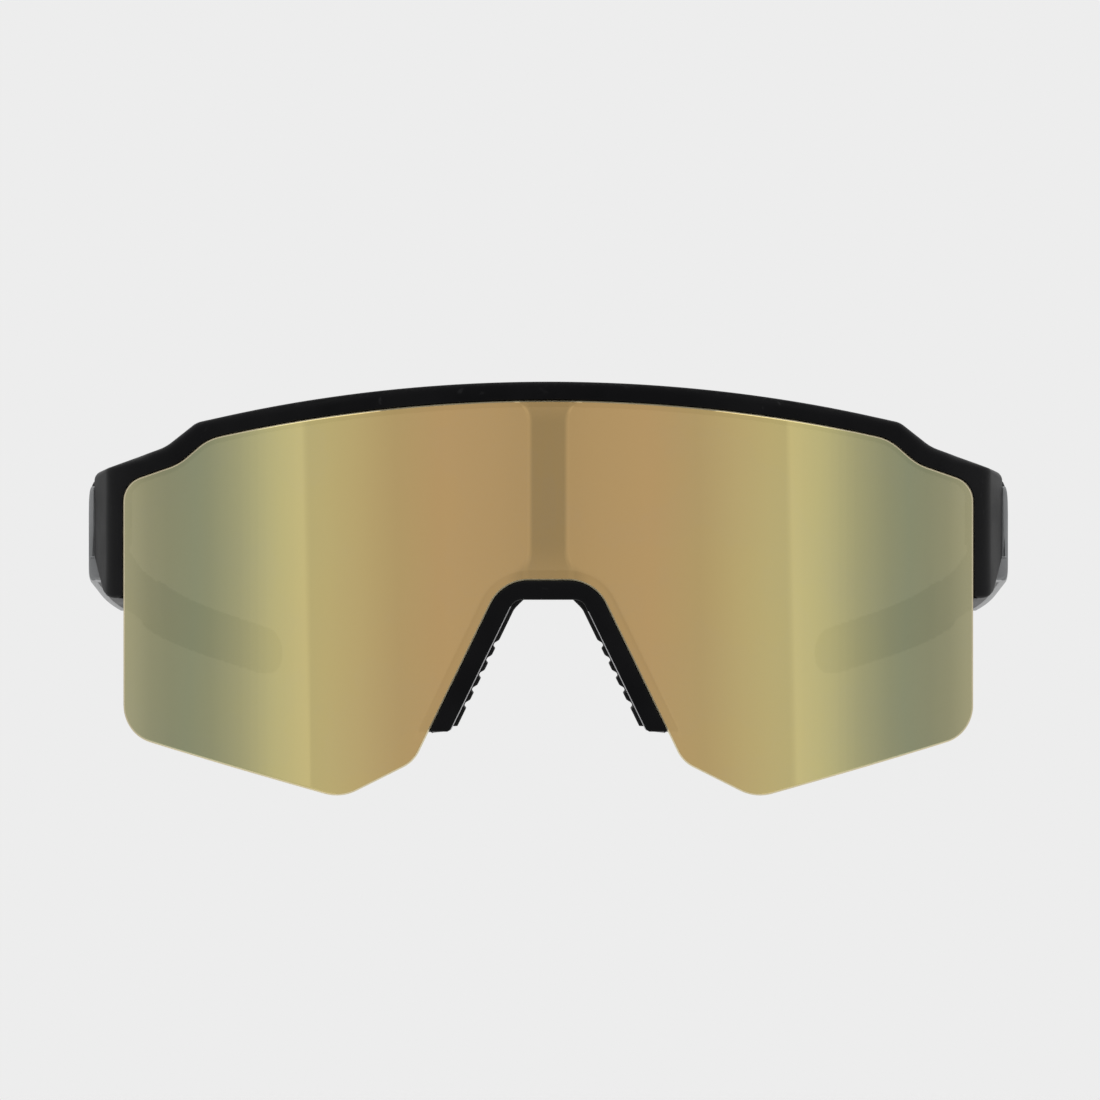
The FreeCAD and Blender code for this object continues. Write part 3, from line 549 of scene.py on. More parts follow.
@dataclass(frozen=True)
class MouldedFinish:
    """A moulded or brushed surface: its colour, gloss and grain, with scuffs and dust on it."""

    name: str
    colour: Colour
    roughness: tuple[float, float]
    grain_scale: float
    grain_depth: float
    scuff_colour: Colour = (0.16, 0.16, 0.165)
    scuffs: float = 0.35
    dust: float = 0.12
    metallic: float = 0.0
    specular: float = 0.5
    brushed: float = 0.0
    darker: float = 0.8
    lighter: float = 1.15
    bloom: float = 0.002
    dust_roughness: float = 0.4

    def make(self, effects: Effects) -> bpy.types.Material:
        """Builds the material.

        Args:
            effects: the shared groups.

        Returns:
            The material, with colour, roughness and bump from its nodes.
        """
        material = bpy.data.materials.new(self.name)
        material.use_nodes = True
        sheet = Sheet(material.node_tree)
        shader = material.node_tree.nodes["Principled BSDF"]
        shader.inputs["Metallic"].default_value = self.metallic
        shader.inputs["Specular IOR Level"].default_value = self.specular
        grain = sheet.add("ShaderNodeGroup", node_tree=effects.grain)
        grain.inputs["Scale"].default_value = self.grain_scale
        scuffs = sheet.add("ShaderNodeGroup", node_tree=effects.scuffs)
        scuffs.inputs["Amount"].default_value = self.scuffs
        dust = sheet.add("ShaderNodeGroup", node_tree=effects.dust)
        dust.inputs["Amount"].default_value = self.dust
        dark = tuple(self.darker * part for part in self.colour)
        light = tuple(min(self.lighter * part + self.bloom, 1.0) for part in self.colour)
        low, high = CLOUD_RANGE
        tone = sheet.ramp(grain.outputs["Cloud"], ((low, dark), (high, light)))
        worn = sheet.mixed(scuffs.outputs["Mask"], tone, (*self.scuff_colour, 1.0))
        dusty = sheet.mixed(dust.outputs["Mask"], worn, DUST_COLOUR)
        shine = sheet.span(grain.outputs["Cloud"], low, high, *self.roughness)
        dulled = sheet.math("MULTIPLY", dust.outputs["Mask"], self.dust_roughness)
        rough = sheet.math("ADD", shine, dulled)
        height = grain.outputs["Height"]
        if self.brushed:
            place = sheet.add("ShaderNodeTexCoord").outputs["Object"]
            run = sheet.add("ShaderNodeMapping", {"Vector": place,
                                                  "Scale": (9000.0, 60.0, 9000.0)}).outputs[0]
            hairs = sheet.add("ShaderNodeTexNoise", {"Vector": run, "Scale": 1.0, "Detail": 3.0})
            height = sheet.math("ADD", height, sheet.math("MULTIPLY", hairs.outputs["Fac"], self.brushed))
        bump = sheet.add("ShaderNodeBump", {"Height": height, "Strength": 0.5,
                                            "Distance": self.grain_depth * MM})
        links = material.node_tree.links
        links.new(dusty, shader.inputs["Base Color"])
        links.new(rough, shader.inputs["Roughness"])
        links.new(bump.outputs["Normal"], shader.inputs["Normal"])
        return material


@dataclass(frozen=True)
class LensFinish:
    """The lens's three finishes: the mirror-coated front, the polished edge and the tinted back."""

    # Gold by distance from the lens's middle: the coating's own gold, plus a painted reflection hue, the
    # coating's shift with viewing angle laid on by place.
    centre: Colour = (0.640, 0.420, 0.176)
    inner: Colour = (0.637, 0.520, 0.215)
    middle: Colour = (0.620, 0.553, 0.242)
    outer: Colour = (0.490, 0.520, 0.310)
    rim: Colour = (0.560, 0.530, 0.300)
    # Grey multiplied onto the channel's floor: painted shade in the recess.
    channel_shade: Colour = (0.72, 0.74, 0.74)
    half_width: float = 66.55
    metallic: float = 0.92
    drift: float = 0.02
    gloss: Span = (0.012, 0.03)

    def front(self) -> bpy.types.Material:
        """The coated front: the coating's own gold, with a painted reflection hue that turns from orange
        in the middle to olive at the sides.
        """
        material = bpy.data.materials.new("lens_coating")
        material.use_nodes = True
        sheet = Sheet(material.node_tree)
        shader = material.node_tree.nodes["Principled BSDF"]
        place = sheet.add("ShaderNodeTexCoord").outputs["Object"]
        across = sheet.math("ABSOLUTE", sheet.add("ShaderNodeSeparateXYZ", {0: place}).outputs["X"])
        share = sheet.math("DIVIDE", across, self.half_width * MM)
        cloud = sheet.add("ShaderNodeTexNoise", {"Vector": place, "Scale": 25.0, "Detail": 2.0})
        drift = sheet.span(cloud.outputs["Fac"], *CLOUD_RANGE, -self.drift, self.drift)
        # The stops of the painted reflection hue, by share of the half width.
        stops = ((0.0, self.centre), (0.24, self.centre), (0.5, self.inner), (0.62, self.middle),
                 (0.84, self.outer), (1.0, self.rim))
        gold_and_painted_reflection = sheet.ramp(sheet.math("ADD", share, drift), stops)
        # The channel attribute carries painted shade: on the channel's floor it multiplies the gold by a
        # darker grey.
        channel = sheet.add("ShaderNodeAttribute", attribute_name="channel").outputs["Fac"]
        floor = sheet.ramp(channel, ((0.0, (1.0, 1.0, 1.0)), (1.0, self.channel_shade)))
        tinted = sheet.add("ShaderNodeMix", data_type="RGBA", blend_type="MULTIPLY")
        tinted.inputs[0].default_value = 1.0
        links = material.node_tree.links
        links.new(gold_and_painted_reflection, tinted.inputs[6])
        links.new(floor, tinted.inputs[7])
        smear = sheet.add("ShaderNodeTexNoise", {"Vector": place, "Scale": 60.0, "Detail": 5.0})
        links.new(tinted.outputs[2], shader.inputs["Base Color"])
        links.new(sheet.span(smear.outputs["Fac"], 0.45, 0.75, *self.gloss), shader.inputs["Roughness"])
        shader.inputs["Metallic"].default_value = self.metallic
        shader.inputs["Transmission Weight"].default_value = 1.0
        shader.inputs["IOR"].default_value = LENS_INDEX
        return material

    def tinted(self, name: str, colour: Colour, roughness: tuple[float, float], clear: float,
               metallic: float) -> bpy.types.Material:
        """Tinted plastic with faint smears, for the edge and the back.

        Args:
            name: the material's name.
            colour: the tint.
            roughness: the least and the most roughness.
            clear: how much light goes through.
            metallic: how much of the coating is on it.

        Returns:
            The material.
        """
        material = bpy.data.materials.new(name)
        material.use_nodes = True
        sheet = Sheet(material.node_tree)
        shader = material.node_tree.nodes["Principled BSDF"]
        place = sheet.add("ShaderNodeTexCoord").outputs["Object"]
        smear = sheet.add("ShaderNodeTexNoise", {"Vector": place, "Scale": 60.0, "Detail": 5.0})
        deep = tuple(0.92 * part for part in colour)
        links = material.node_tree.links
        tone = sheet.ramp(smear.outputs["Fac"], ((0.35, deep), (0.7, colour)))
        links.new(tone, shader.inputs["Base Color"])
        links.new(sheet.span(smear.outputs["Fac"], 0.4, 0.7, *roughness), shader.inputs["Roughness"])
        shader.inputs["Transmission Weight"].default_value = clear
        shader.inputs["Metallic"].default_value = metallic
        shader.inputs["IOR"].default_value = LENS_INDEX
        return material


@dataclass(frozen=True)
class Finishes:
    """Every material of the object."""

    coating: bpy.types.Material
    edge: bpy.types.Material
    tint: bpy.types.Material
    frame: bpy.types.Material
    bridge: bpy.types.Material
    parting: bpy.types.Material
    pad: bpy.types.Material
    temple: bpy.types.Material
    trim: bpy.types.Material
    grip: bpy.types.Material
    screw: bpy.types.Material
    insert: bpy.types.Material

    @classmethod
    def build(cls) -> "Finishes":
        """Makes all of them."""
        effects = Effects.build()
        lens = LensFinish()
        return cls(
            lens.front(),
            lens.tinted("lens_edge", (0.74, 0.65, 0.43), (0.18, 0.3), 0.0, 0.5),
            lens.tinted("lens_back", (0.36, 0.31, 0.23), (0.008, 0.025), 1.0, 0.0),
            MouldedFinish("frame_nylon", (0.0025, 0.0025, 0.003), (0.32, 0.44), 5200.0, 0.02,
                          scuffs=0.08, dust=0.05, specular=0.06).make(effects),
            MouldedFinish("bridge_nylon", (0.0025, 0.0025, 0.003), (0.32, 0.44), 5200.0, 0.02,
                          scuffs=0.05, dust=0.04, specular=0.06).make(effects),
            # Light grey on the bridge's inner edge: a painted highlight where its rounding catches the
            # light.
            MouldedFinish("painted_highlight_line", (0.40, 0.40, 0.41), (0.25, 0.35), 6000.0, 0.004,
                          dust=0.02, metallic=0.5, scuff_colour=(0.5, 0.5, 0.5)).make(effects),
            MouldedFinish("pad_rubber", (0.005, 0.005, 0.0055), (0.6, 0.75), 7000.0, 0.02,
                          scuffs=0.05, dust=0.06, specular=0.2).make(effects),
            MouldedFinish("temple_nylon", (0.003, 0.003, 0.0035), (0.34, 0.46), 5200.0, 0.02,
                          scuffs=0.12, dust=0.06, specular=0.16).make(effects),
            MouldedFinish("trim_satin", (0.23, 0.235, 0.24), (0.28, 0.38), 6000.0, 0.008, dust=0.05,
                          metallic=0.6, brushed=1.5, scuff_colour=(0.4, 0.4, 0.41)).make(effects),
            MouldedFinish("grip_rubber", (0.008, 0.008, 0.0085), (0.58, 0.74), 6000.0, 0.025,
                          scuffs=0.1, dust=0.08, specular=0.25).make(effects),
            MouldedFinish("screw_steel", (0.55, 0.55, 0.56), (0.2, 0.34), 8000.0, 0.004, dust=0.03,
                          metallic=1.0, brushed=1.0, scuff_colour=(0.7, 0.7, 0.7)).make(effects),
            MouldedFinish("insert_brass", (0.72, 0.52, 0.24), (0.22, 0.38), 8000.0, 0.004, dust=0.03,
                          metallic=1.0, brushed=0.8, scuff_colour=(0.85, 0.7, 0.4)).make(effects),
        )


# ---- Lens ----

LENS_HALF: Corners = (
    (52.55, 17.18, 8.0), (57.25, 13.34, 9.0), (66.55, 10.45, 4.0), (66.55, -28.8, 5.9),
    (31.60, -37.9, 7.0), (20.40, -32.2, 5.4), (7.0, -4.6, 6.3),
)
LENS_APEX = (0.0, 27.452, 253.7)
NOSE_TOP_LOW = 4.6
NOSE_HALF_WIDTH = 7.0
NOSE_ANGLE = math.radians(25.9)
NOSE_ROUND = 6.3


def lens_corners(growth: float = 0.0) -> np.ndarray:
    """The lens's closed outline, anticlockwise from the brow's middle, grown all round."""
    left = [(-across, up, rounding) for across, up, rounding in LENS_HALF]
    right = list(LENS_HALF)[::-1]
    return grow([LENS_APEX] + left + right, growth)


def nose_across(low: np.ndarray, inset: np.ndarray) -> np.ndarray:
    """How far across a line along the nose cut-out's side is, at a depth below eye level."""
    return NOSE_HALF_WIDTH + (low - NOSE_TOP_LOW) * math.tan(NOSE_ANGLE) - inset / math.cos(NOSE_ANGLE)


@dataclass
class ShieldLens:
    """The one-piece lens: a cylindrical sheet with a shallow moulded channel down its middle.

    The arcs and runs are the steps in each corner and each straight run of its upper and lower edge.
    """

    drawing: Drawing
    finishes: Finishes
    wall: float = 2.2
    bevel: float = 0.22
    channel_half_width: float = 2.8
    channel_depth: float = 0.22
    channel_slope: float = 0.45
    channel_margin: float = 1.4
    channel_low: float = 29.0
    channel_fade: float = 1.2
    panel_round: float = 3.2
    flare_reach: Span = (2.7, 4.3)
    flare_depth: float = 0.2
    # Where the painted shade on the channel's floor reaches: across, from below, towards the top, and how
    # much is left at its ends.
    painted_shade_reach: Span = (3.4, 7.0)
    painted_shade_low: Span = (-4.4, 1.5)
    painted_shade_high: Span = (19.0, 22.6)
    painted_shade_ends: float = 0.6
    upper_arcs: Counts = (16, 12, 12, 70, 12, 12, 16)
    upper_runs: Counts = (1, 8, 3, 2, 2, 3, 8, 1)
    lower_arcs: Counts = (18, 14, 16, 20, 20, 16, 14, 18)
    lower_runs: Counts = (1, 24, 6, 40, 12, 40, 6, 24, 1)
    added_columns: tuple[Span, ...] = ((5.0, 0.125), (22.0, 0.3))
    least_column: float = 0.03
    margin_rows: int = 19
    margin_height: float = 4.2
    upper_rows: int = 38
    row_bias: float = 1.7

    def edges(self) -> tuple[np.ndarray, np.ndarray, np.ndarray]:
        """The columns across the lens, and the height of its lower and upper edge at each."""
        corners = lens_corners(-self.bevel)
        first, last = [(corners[3, 0], 0.0, 0.0)], [(corners[12, 0], 0.0, 0.0)]
        upper = np.concatenate([first, corners[[3, 2, 1, 0, 14, 13, 12]], last])
        lower = np.concatenate([first, corners[4:12], last])
        top = trace(upper, self.upper_arcs, self.upper_runs)[1:-1]
        bottom = trace(lower, self.lower_arcs, self.lower_runs)[1:-1]
        added = [np.arange(-reach, reach + 0.01, step) for reach, step in self.added_columns]
        columns = np.unique(np.round(np.concatenate([top[:, 0], bottom[:, 0], *added]), 2))
        columns = columns[np.r_[True, np.diff(columns) > self.least_column]]
        return columns, np.interp(columns, *bottom.T), np.interp(columns, *top.T)

    def past_cutout(self, side: np.ndarray, up: np.ndarray) -> np.ndarray:
        """How far a point is outside the nose cut-out: over its top, round its corner or beside it."""
        along = np.array([math.sin(NOSE_ANGLE), -math.cos(NOSE_ANGLE)])
        out = np.array([math.cos(NOSE_ANGLE), math.sin(NOSE_ANGLE)])
        centre_low = NOSE_TOP_LOW + NOSE_ROUND
        spoke = np.stack([side - nose_across(centre_low, NOSE_ROUND), up + centre_low])
        over_top = up + NOSE_TOP_LOW
        beside = (side - NOSE_HALF_WIDTH) * out[0] + over_top * out[1]
        round_corner = np.hypot(*spoke) - NOSE_ROUND
        past_side = spoke[0] * along[0] + spoke[1] * along[1] > 0
        return np.where(spoke[0] < 0, over_top, np.where(past_side, beside, round_corner))

    def channel(self, across: np.ndarray, up: np.ndarray) -> np.ndarray:
        """How deep in the channel a point is, from 0 to 1.

        The channel is where the distance to the middle is under its half width, which flares in a
        quarter circle at the top, or where the distance to the nose cut-out is under the margin.
        """
        side = np.abs(across)
        below_top = np.clip(self.panel_round - (LENS_TOP - up), 0.0, self.panel_round)
        flare = self.panel_round - np.sqrt(self.panel_round**2 - below_top**2)
        middle = self.channel_half_width + flare - side
        margin = self.channel_margin - self.past_cutout(side, up)
        blend = np.maximum(self.panel_round - np.abs(middle - margin), 0.0) / self.panel_round
        inside = np.maximum(middle, margin) + blend**2 * self.panel_round / 4
        lowest = smooth(-self.channel_low, -self.channel_low + self.channel_fade, up)
        return smooth(-self.channel_slope, self.channel_slope, inside) * lowest

    def shade(self, across: np.ndarray, up: np.ndarray) -> np.ndarray:
        """How much painted shade the channel's floor gets: most in its middle, less at its ends, none at
        its sides.
        """
        length = smooth(*self.painted_shade_low, up) * (1 - smooth(*self.painted_shade_high, up))
        ends = self.painted_shade_ends + (1 - self.painted_shade_ends) * length
        return ends * (1 - smooth(*self.painted_shade_reach, np.abs(across)))

    def grid(self) -> tuple[np.ndarray, np.ndarray]:
        """The grid's places across and up.

        Rows start at fixed heights over the lower edge, then share out what is left.
        """
        columns, low, high = self.edges()
        near = np.linspace(0.0, self.margin_height, self.margin_rows)[:, None] + low
        share = 1 - (1 - np.linspace(0, 1, self.upper_rows + 1)[1:, None]) ** self.row_bias
        far = low + self.margin_height + (high - low - self.margin_height) * share
        up = np.concatenate([near, far])
        return np.broadcast_to(columns, up.shape), up

    def shell(self) -> Shell:
        """The lens: front and back grids over the same columns, joined by a bevelled edge.

        Each ring of the edge is the grid's outline moved out by the bevel, square to itself.
        """
        across, up = self.grid()
        mask = self.channel(across, up)
        deep = 1 - (1 - self.flare_depth) * smooth(*self.flare_reach, np.abs(across))
        floor = self.channel_depth * mask * deep
        front = np.stack([across, wrap(across, WRAP_RADIUS) + floor, up], -1).reshape(-1, 3)
        rear = np.stack([across, wrap(across, WRAP_RADIUS - self.wall), up], -1).reshape(-1, 3)
        number = np.arange(up.size).reshape(up.shape)
        loop = np.concatenate([number[0], number[1:, -1], number[-1, -2::-1], number[-2:0:-1, 0]])
        flat = front[loop][:, [0, 2]]
        run = np.roll(flat, -1, 0) - np.roll(flat, 1, 0)
        run /= np.linalg.norm(run, axis=1)[:, None]
        outer = flat + np.column_stack([run[:, 1], -run[:, 0]]) * self.bevel
        depths = front[loop, 1] + self.bevel, rear[loop, 1] - self.bevel
        rings = [np.column_stack([outer[:, 0], back, outer[:, 1]]) for back in depths]
        points = np.concatenate([front, *rings, rear])
        quads = np.stack([number[:-1, :-1], number[:-1, 1:], number[1:, 1:], number[1:, :-1]], -1)
        quads = quads.reshape(-1, 4)
        size = len(loop)
        first = up.size + np.arange(size)
        behind = up.size + 2 * size
        loops = (loop, first, first + size, loop + behind)
        after = np.roll(np.arange(size), -1)
        edge = np.concatenate([np.stack([one, two, two[after], one[after]], -1)
                               for one, two in zip(loops[:-1], loops[1:])])
        faces = quads.tolist() + edge.tolist() + (quads[:, ::-1] + behind).tolist()
        finishes = [0] * len(quads) + [1] * size + [2] * (len(edge) - size + len(quads))
        # The channel attribute holds painted shade for the coating: the channel's depth mask times how
        # much shade each place gets.
        channel = np.zeros(len(points))
        channel[: up.size] = (mask * self.shade(across, up)).reshape(-1)
        return Shell(points, faces, finishes, channel).outwards()

    def build(self) -> bpy.types.Object:
        """Makes, dresses and places the lens."""
        finishes = (self.finishes.coating, self.finishes.edge, self.finishes.tint)
        piece = make_piece("lens_shield", [self.shell()], self.drawing, finishes)
        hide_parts("shield_lens")
        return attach(piece, "front")


# ---- Half frame ----


@dataclass
class BrowFrame:
    """The half frame: a bar over the lens that turns down at both ends to the hinges.

    The bar's back is a cylinder up to bar_reach across, and the end blocks rise over block_reach.
    sweep_back and sweep_up are the legs' lowest heights by how far back they are. The outlines'
    corners are across, up and rounding, and the shares place the rails between two others.
    """

    drawing: Drawing
    finishes: Finishes
    depth: float = 5.7
    lens_gap: float = 0.15
    flange_lap: float = 0.9
    bar_reach: float = 63.4
    block_reach: Span = (62.9, 64.7)
    end_back: float = 41.823
    end_across: float = 72.2
    leg_across: float = 69.31
    leg_low: float = 7.6
    sweep_back: tuple[float, ...] = (33.9, 34.6, 35.3, 36.3, 41.82)
    sweep_up: tuple[float, ...] = (-7.6, -7.55, -7.28, -6.52, -0.5)
    apex: Place = (0.0, 30.386, 256.58)
    shoulder: Corners = ((54.45, 19.74, 3.5), (59.5, 16.04, 8.0))
    front_corner: Span = (12.86, 0.8)
    rear_corner: Span = (12.0, 1.5)
    arcs: Counts = (10, 12, 8, 64, 8, 12, 10)
    runs: Counts = (14, 16, 4, 3, 3, 4, 16, 14)
    outside_shares: tuple[float, ...] = (0.3, 0.4, 0.5)
    lip_shares: tuple[float, ...] = (0.55, 0.67, 0.78)
    rounding: tuple[float, ...] = (0.25, 2.2, 0, 0, 0, 1.2, 0.6, 0, 0, 0, 0.3, 0.2)
    rounding_steps: int = 5
    end_round: float = 0.6
    lug_root: Span = (65.6, 69.6)
    lug_bite: float = 2.0
    lug_low: Span = (0.8, 3.3)
    lug_high: Span = (7.8, 10.3)
    insert_bore: Span = (1.22, 1.35)
    head_bore: Span = (1.35, 1.5)
    head_seat: float = 9.5
    screw_bore: Span = (0.75, 0.85)

    def rear(self, across: np.ndarray) -> np.ndarray:
        """The frame's back: a cylinder, with the end blocks standing further back at the sides."""
        side = np.abs(across)
        bar = wrap(np.minimum(side, self.bar_reach), WRAP_RADIUS - self.depth)
        return bar + (self.end_back - bar) * smooth(*self.block_reach, side)

    def underside(self, back: np.ndarray) -> np.ndarray:
        """The height of the frame's lowest points: level, then sweeping up towards the hinge."""
        return np.interp(back, self.sweep_back, self.sweep_up)

    def chain(self, half: Corners, apex: Place) -> np.ndarray:
        """A rail's outline over the brow from leg to leg; half runs from the shoulder outwards."""
        leg = half[-1][0]
        left = [(-across, up, rounding) for across, up, rounding in half[::-1]]
        table = [(-leg, -self.leg_low, 0.0), *left, apex, *half, (leg, -self.leg_low, 0.0)]
        return trace(np.array(table), self.arcs, self.runs)

    def rail(self, outline: np.ndarray, back: np.ndarray) -> np.ndarray:
        """An outline set at its depths, with its legs cut to the frame's underside."""
        rail = np.column_stack([outline[:, 0], back, outline[:, 1]])
        leg = np.abs(outline[:, 0]) >= np.abs(outline[0, 0]) - 1e-6
        top = outline[leg, 1].max()
        share = (top - rail[leg, 2]) / (top + self.leg_low)
        rail[leg, 2] = top - share * (top - self.underside(rail[leg, 1]))
        return rail

    def band(self) -> Shell:
        """The frame as one tube whose section is an angle that holds the lens's edge."""
        seat, window = (
            self.chain([tuple(row) for row in corners[[14, 13, 12]]], tuple(corners[0]))
            for corners in map(lens_corners, (self.lens_gap, -self.flange_lap))
        )
        brow = self.chain((*self.shoulder, (self.leg_across, *self.front_corner)), self.apex)
        outer = self.chain((*self.shoulder, (self.end_across, *self.rear_corner)), self.apex)
        proud = WRAP_RADIUS + FRAME_PROUD
        front_inner = self.rail(seat, wrap(seat[:, 0], proud))
        front_outer = np.column_stack([brow[:, 0], wrap(brow[:, 0], proud), brow[:, 1]])
        rear_outer = np.column_stack([outer[:, 0], self.rear(outer[:, 0]), outer[:, 1]])
        rear_inner = np.column_stack([window[:, 0], self.rear(window[:, 0]), window[:, 1]])
        lip = wrap(window[:, 0], FLANGE_FRONT_RADIUS)
        lip_inner = np.column_stack([window[:, 0], lip, window[:, 1]])
        between = [front_outer]
        between += [front_outer + (rear_outer - front_outer) * share for share in self.outside_shares]
        between += [rear_outer, rear_inner]
        between += [rear_inner + (lip_inner - rear_inner) * share for share in self.lip_shares]
        between.append(lip_inner)
        cut = [self.rail(rail[:, [0, 2]], rail[:, 1]) for rail in between]
        corner = self.rail(seat, wrap(seat[:, 0], FLANGE_FRONT_RADIUS))
        rails = np.stack([front_inner, *cut, corner])
        return loft(rails, self.rounding, self.rounding_steps, self.end_round)

    def lugs(self) -> list[Shell]:
        """The two lugs of the left hinge: the upper with a seat for the screw's head."""
        root = np.array([(across, self.end_back - self.lug_bite) for across in self.lug_root])
        low, high = self.lug_low
        bore, mouth = self.insert_bore
        bores = ((high, mouth), (high - BORE_CHAMFER, bore), (low + BORE_CHAMFER, bore), (low, mouth))
        lower = Knuckle(low, high, root, bores)
        low, high = self.lug_high
        head, head_mouth = self.head_bore
        screw, screw_mouth = self.screw_bore
        bores = ((high, head_mouth), (high - BORE_CHAMFER, head), (self.head_seat, head),
                 (self.head_seat, screw), (low + screw_mouth - screw, screw), (low, screw_mouth))
        return [lower.shell(), Knuckle(low, high, root, bores).shell()]

    def build(self) -> bpy.types.Object:
        """Makes, dresses and places the half frame."""
        shells = [self.band()] + [lug.mirrored(side) for side in Side for lug in self.lugs()]
        piece = make_piece("frame_brow", shells, self.drawing, (self.finishes.frame,))
        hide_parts("brow_frame")
        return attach(piece, "front")


# ---- Nose bridge and pads ----


@dataclass
class NoseBridge:
    """The arch clipped into the nose cut-out, with a flange behind the lens."""

    drawing: Drawing
    finishes: Finishes
    outer_inset: float = 0.1
    inner_inset: float = 2.96
    flange_inset: float = -1.5
    low: float = 27.6
    inner_round: float = 1.8
    back_radius: float = 80.0
    arcs: Counts = (18, 18)
    runs: Counts = (26, 6, 26)
    rounding: tuple[float, ...] = (0.3, 0.55, 0.8, 0.8, 0.3, 0.15)
    rounding_steps: int = 4
    end_round: float = 0.5
    highlight_strips: Counts = (7, 8)
    highlight_start: float = 8.8

    def rail(self, inset: float, rounding: float, radius: float) -> np.ndarray:
        """A line round the nose cut-out at an inset, set back on a cylinder."""
        foot = nose_across(self.low, inset)
        shoulder = nose_across(NOSE_TOP_LOW + inset, inset)
        table = np.array([
            (foot, -self.low, 0.0), (shoulder, -NOSE_TOP_LOW - inset, rounding),
            (-shoulder, -NOSE_TOP_LOW - inset, rounding), (-foot, -self.low, 0.0),
        ])
        flat = trace(table, self.arcs, self.runs)
        return np.column_stack([flat[:, 0], wrap(flat[:, 0], radius), flat[:, 1]])

    def shell(self) -> Shell:
        """The arch as a tube whose section is an angle: the arch and the flange behind the lens.

        The last strips of its inner front edge, down both arms, get a light grey finish: a painted
        highlight along the edge's rounding.
        """
        outer_round = NOSE_ROUND - self.outer_inset
        flange_round = NOSE_ROUND - self.flange_inset
        rails = np.stack([
            self.rail(self.outer_inset, outer_round, WRAP_RADIUS),
            self.rail(self.inner_inset, self.inner_round, WRAP_RADIUS),
            self.rail(self.inner_inset, self.inner_round, self.back_radius),
            self.rail(self.flange_inset, flange_round, self.back_radius),
            self.rail(self.flange_inset, flange_round, FLANGE_FRONT_RADIUS),
            self.rail(self.outer_inset, outer_round, FLANGE_FRONT_RADIUS),
        ])
        arch = loft(rails, self.rounding, self.rounding_steps, self.end_round)
        size = len(arch.faces[-1])
        strip = np.array([min(face) % size for face in arch.faces])
        place = arch.points[[face[0] for face in arch.faces]]
        # The lower strips of the inner front rounding take the painted highlight finish.
        line = np.isin(strip, self.highlight_strips) & (place[:, 2] < -self.highlight_start)
        arch.finishes = line.astype(int).tolist()
        return arch

    def build(self) -> bpy.types.Object:
        """Makes, dresses and places the bridge."""
        finishes = (self.finishes.bridge, self.finishes.parting)
        piece = make_piece("bridge_arch", [self.shell()], self.drawing, finishes)
        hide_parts("nose_bridge")
        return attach(piece, "front")


@dataclass
class NosePad:
    """One moulded rubber pad: a strip with round ribs and a thicker foot."""

    drawing: Drawing
    finishes: Finishes
    side: Side
    floor_inset: float = 1.68
    skin_inset: float = 3.1
    strip_low: float = 5.6
    strip_end: float = 14.2
    corner_fill: float = 1.0
    corner_low: float = 9.4
    rib_half: float = 0.98
    rib_low: float = 15.5
    rib_pitch: float = 2.27
    ribs: int = 4
    top_low: float = 6.4
    foot_low: float = 26.8
    lug_low: float = 23.7
    lug_inset: float = 3.55
    ramp: float = 0.6
    front_radius: float = 85.6
    back_radius: float = 76.6
    rounding: tuple[float, ...] = (0.1, 0.35, 0.6, 0.3)
    rounding_steps: int = 4
    end_round: float = 0.08
    stations: int = 260

    def face(self, low: np.ndarray) -> np.ndarray:
        """The inset of the pad's face: the skin, raised by soft-edged blocks down its length.

        A block is the product of two soft steps about its upper and lower end. At the top the face
        swells by a soft step into the arch's corner.
        """
        centres = self.rib_low + self.rib_pitch * np.arange(self.ribs)
        starts = np.concatenate([[self.strip_low], centres - self.rib_half, [self.lug_low]])
        past_foot = self.foot_low + self.ramp
        ends = np.concatenate([[self.strip_end], centres + self.rib_half, [past_foot]])
        place = low[:, None]
        blocks = smooth(0, self.ramp, place - starts) * smooth(0, self.ramp, ends - place)
        corner = self.corner_fill * (1 - smooth(self.top_low, self.corner_low, low))
        return self.skin_inset + (self.lug_inset - self.skin_inset) * blocks.max(1) + corner

    def shell(self) -> Shell:
        """The pad as a tube down the arm of the bridge."""
        low = np.linspace(self.top_low, self.foot_low, self.stations)
        face = self.face(low)
        rails = []
        for inset, radius in ((self.floor_inset, self.front_radius), (face, self.front_radius),
                              (face, self.back_radius), (self.floor_inset, self.back_radius)):
            across = nose_across(low, inset)
            rails.append(np.column_stack([across, wrap(across, radius), -low]))
        pad = loft(np.stack(rails), self.rounding, self.rounding_steps, self.end_round)
        return pad.mirrored(self.side)

    def build(self) -> bpy.types.Object:
        """Makes, dresses and places the pad."""
        piece = make_piece(f"pad_{self.side.label}", [self.shell()], self.drawing, (self.finishes.pad,))
        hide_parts(f"nose_pad_{self.side.label}")
        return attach(piece, "front")


# ---- Temples ----


